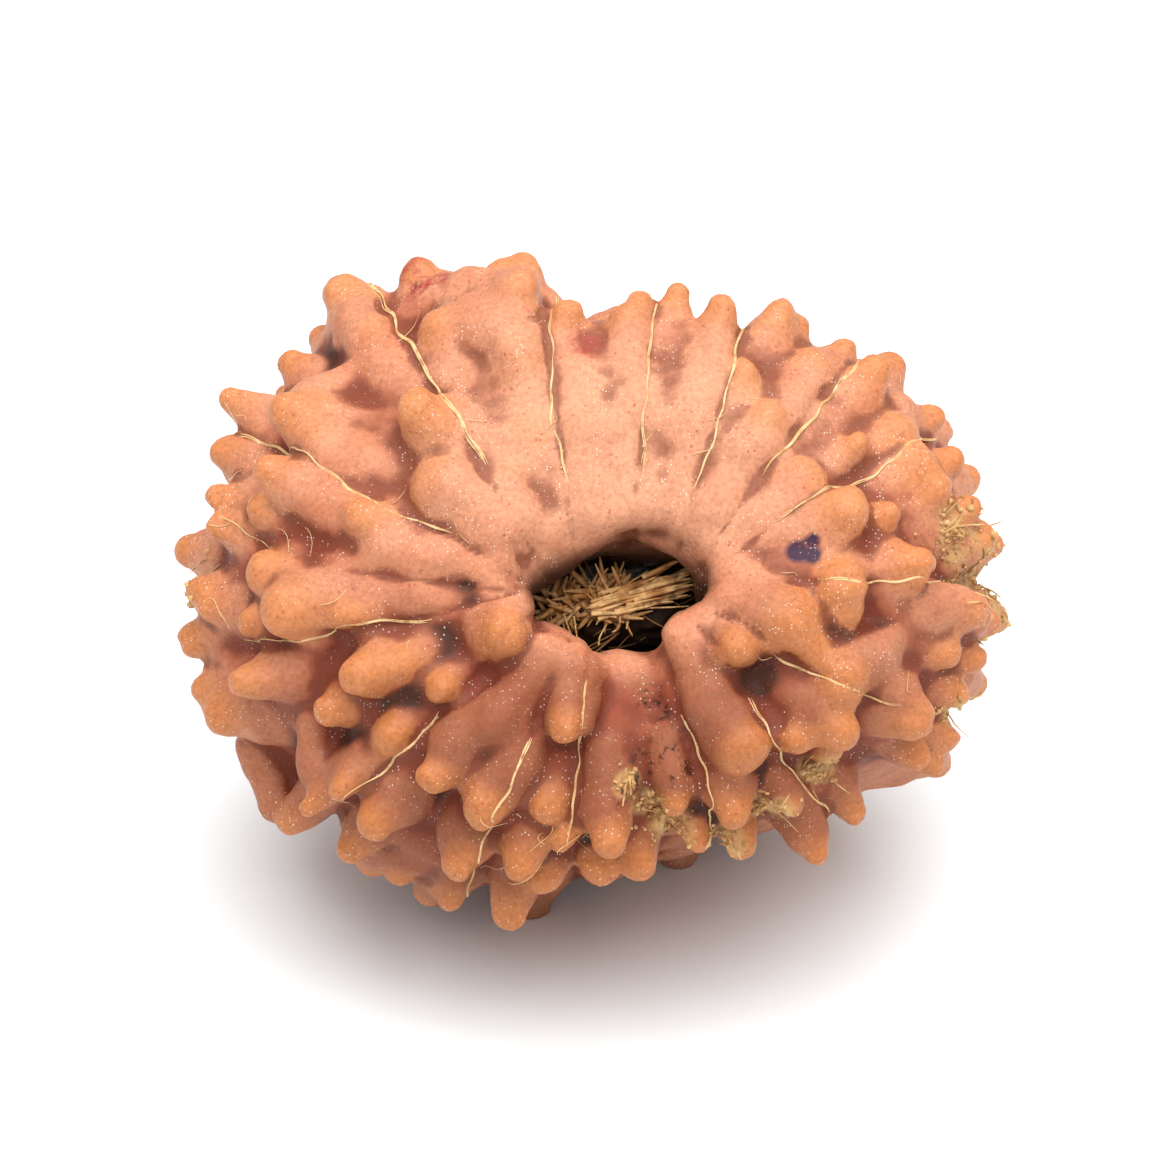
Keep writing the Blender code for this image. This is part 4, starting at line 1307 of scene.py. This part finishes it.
# %% [markdown]
# ## Crumbs of dried flesh
#
# A sandy patch at the right edge and a few hollows hold crumbs of dried flesh, with short fibres
# sticking out of them. One crumb is modelled from an ico sphere, knocked out of round, and copied with
# its own size and turn to places drawn round the middle of each sandy patch. A ray finds the skin
# below it.

# %% Scatter the crumbs
# How many fall in a patch of 1 mm radius, and how wide they scatter, in degrees of azimuth and section.
CRUMBS_IN_PATCH, CRUMB_SCATTER = 42, (3.2, 3.6)
SPLINTERS_IN_PATCH, SPLINTER_SCATTER = 4, (3.0, 3.4)
CRUMB_SIZES, CRUMB_SHRINKS = (0.05, 0.17), (0.6, 1.0)
CRUMB_STRETCHES = ((0.6, 1.3), (0.6, 1.0), (0.5, 0.9))
KNOCKS, KNOCK_SIZE, KNOCK_PATTERNS = 0.35, 0.6, (0, 50)
CRUMB_SITS = 0.35
SPLINTER_LEANS, SPLINTER_LIFTS = (4, 5), (0.1, 0.8)
SPLINTER_POINTS, SPLINTER_RADII, SPLINTER_TIP = 6, (0.025, 0.06), 0.4
CRUMB_SEED = 8

draw = random.Random(CRUMB_SEED)
deselect_all()
bpy.ops.mesh.primitive_ico_sphere_add(subdivisions=2, radius=1)
first_crumb = bpy.context.object
crumb_shape = points_of(first_crumb)


def scattered(spot, scatter):
    """A place drawn round the middle of a spot, in degrees."""
    azimuth, section, radius = spot
    a = azimuth + draw.gauss(0, 1) * radius * scatter[0]
    s = section + draw.gauss(0, 1) * radius * scatter[1]
    return a, s


def crumb(spot):
    a, s = scattered(spot, CRUMB_SCATTER)
    size = draw.uniform(*CRUMB_SIZES) * draw.uniform(*CRUMB_SHRINKS)
    knocked = crumb_shape * np.array([draw.uniform(*stretch) for stretch in CRUMB_STRETCHES])
    knocks = noise_at(crumb_shape, KNOCK_SIZE, draw.uniform(*KNOCK_PATTERNS))
    knocked = knocked * (1 + KNOCKS * knocks)[:, None]
    angle = draw.uniform(0, math.tau)
    turn = np.array(Matrix.Rotation(angle, 3, Vector((draw.gauss(0, 1), draw.gauss(0, 1), 1))))
    middle = place_at(a, s, skin_height(a, s)[0] + size * CRUMB_SITS)
    return copy_of(first_crumb, middle + knocked @ turn.T * size * MM)


def splinter(spot):
    azimuth, section = scattered(spot, SPLINTER_SCATTER)
    lean_a, lean_s = either_way(SPLINTER_LEANS[0]), either_way(SPLINTER_LEANS[1])
    lift = draw.uniform(*SPLINTER_LIFTS)
    path = []
    for t in np.linspace(0, 1, SPLINTER_POINTS):
        a, s = azimuth + lean_a * t, section + lean_s * t
        path.append(place_at(a, s, skin_height(a, s)[0] + lift * t))
    return np.array(path), tapered(SPLINTER_POINTS, draw.uniform(*SPLINTER_RADII) * MM, SPLINTER_TIP)


copies, splinters = [], []
for spot in SANDY_PATCHES:
    copies += [crumb(spot) for _ in range(int(CRUMBS_IN_PATCH * spot[2]))]
    splinters += [splinter(spot) for _ in range(int(SPLINTERS_IN_PATCH * spot[2] + 1))]
bpy.data.objects.remove(first_crumb)
crumbs = copies[0]
join_onto(crumbs, [*copies[1:], tubes("splinters", splinters)])
crumbs.name = "dried_crumbs"
print(len(copies), "crumbs and", len(splinters), "splinters,", len(crumbs.data.polygons), "faces")

# %% Colour the crumbs
CRUMB_BROWN, CRUMB_SAND, CRUMB_PALE = (0.30, 0.145, 0.05), (0.62, 0.38, 0.16), (0.72, 0.50, 0.27)

sandy_crumb, shader = new_finish("sandy_crumb")
base = mixed(rise(noise_node(scale=1500), 0.35, 0.62), CRUMB_BROWN, CRUMB_SAND)
base = mixed(ramp(noise_node(scale=800, detail=2), (0.55, 0.0), (0.7, 0.8)), base, CRUMB_PALE)
surface(shader, base, roughness=0.85, specular=0.25, bump_strength=0.5, bump_depth=0.03,
        bump_noise=noise_node(scale=6000))
dress(crumbs, sandy_crumb)
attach(crumbs, "root")
print("crumbs coloured")
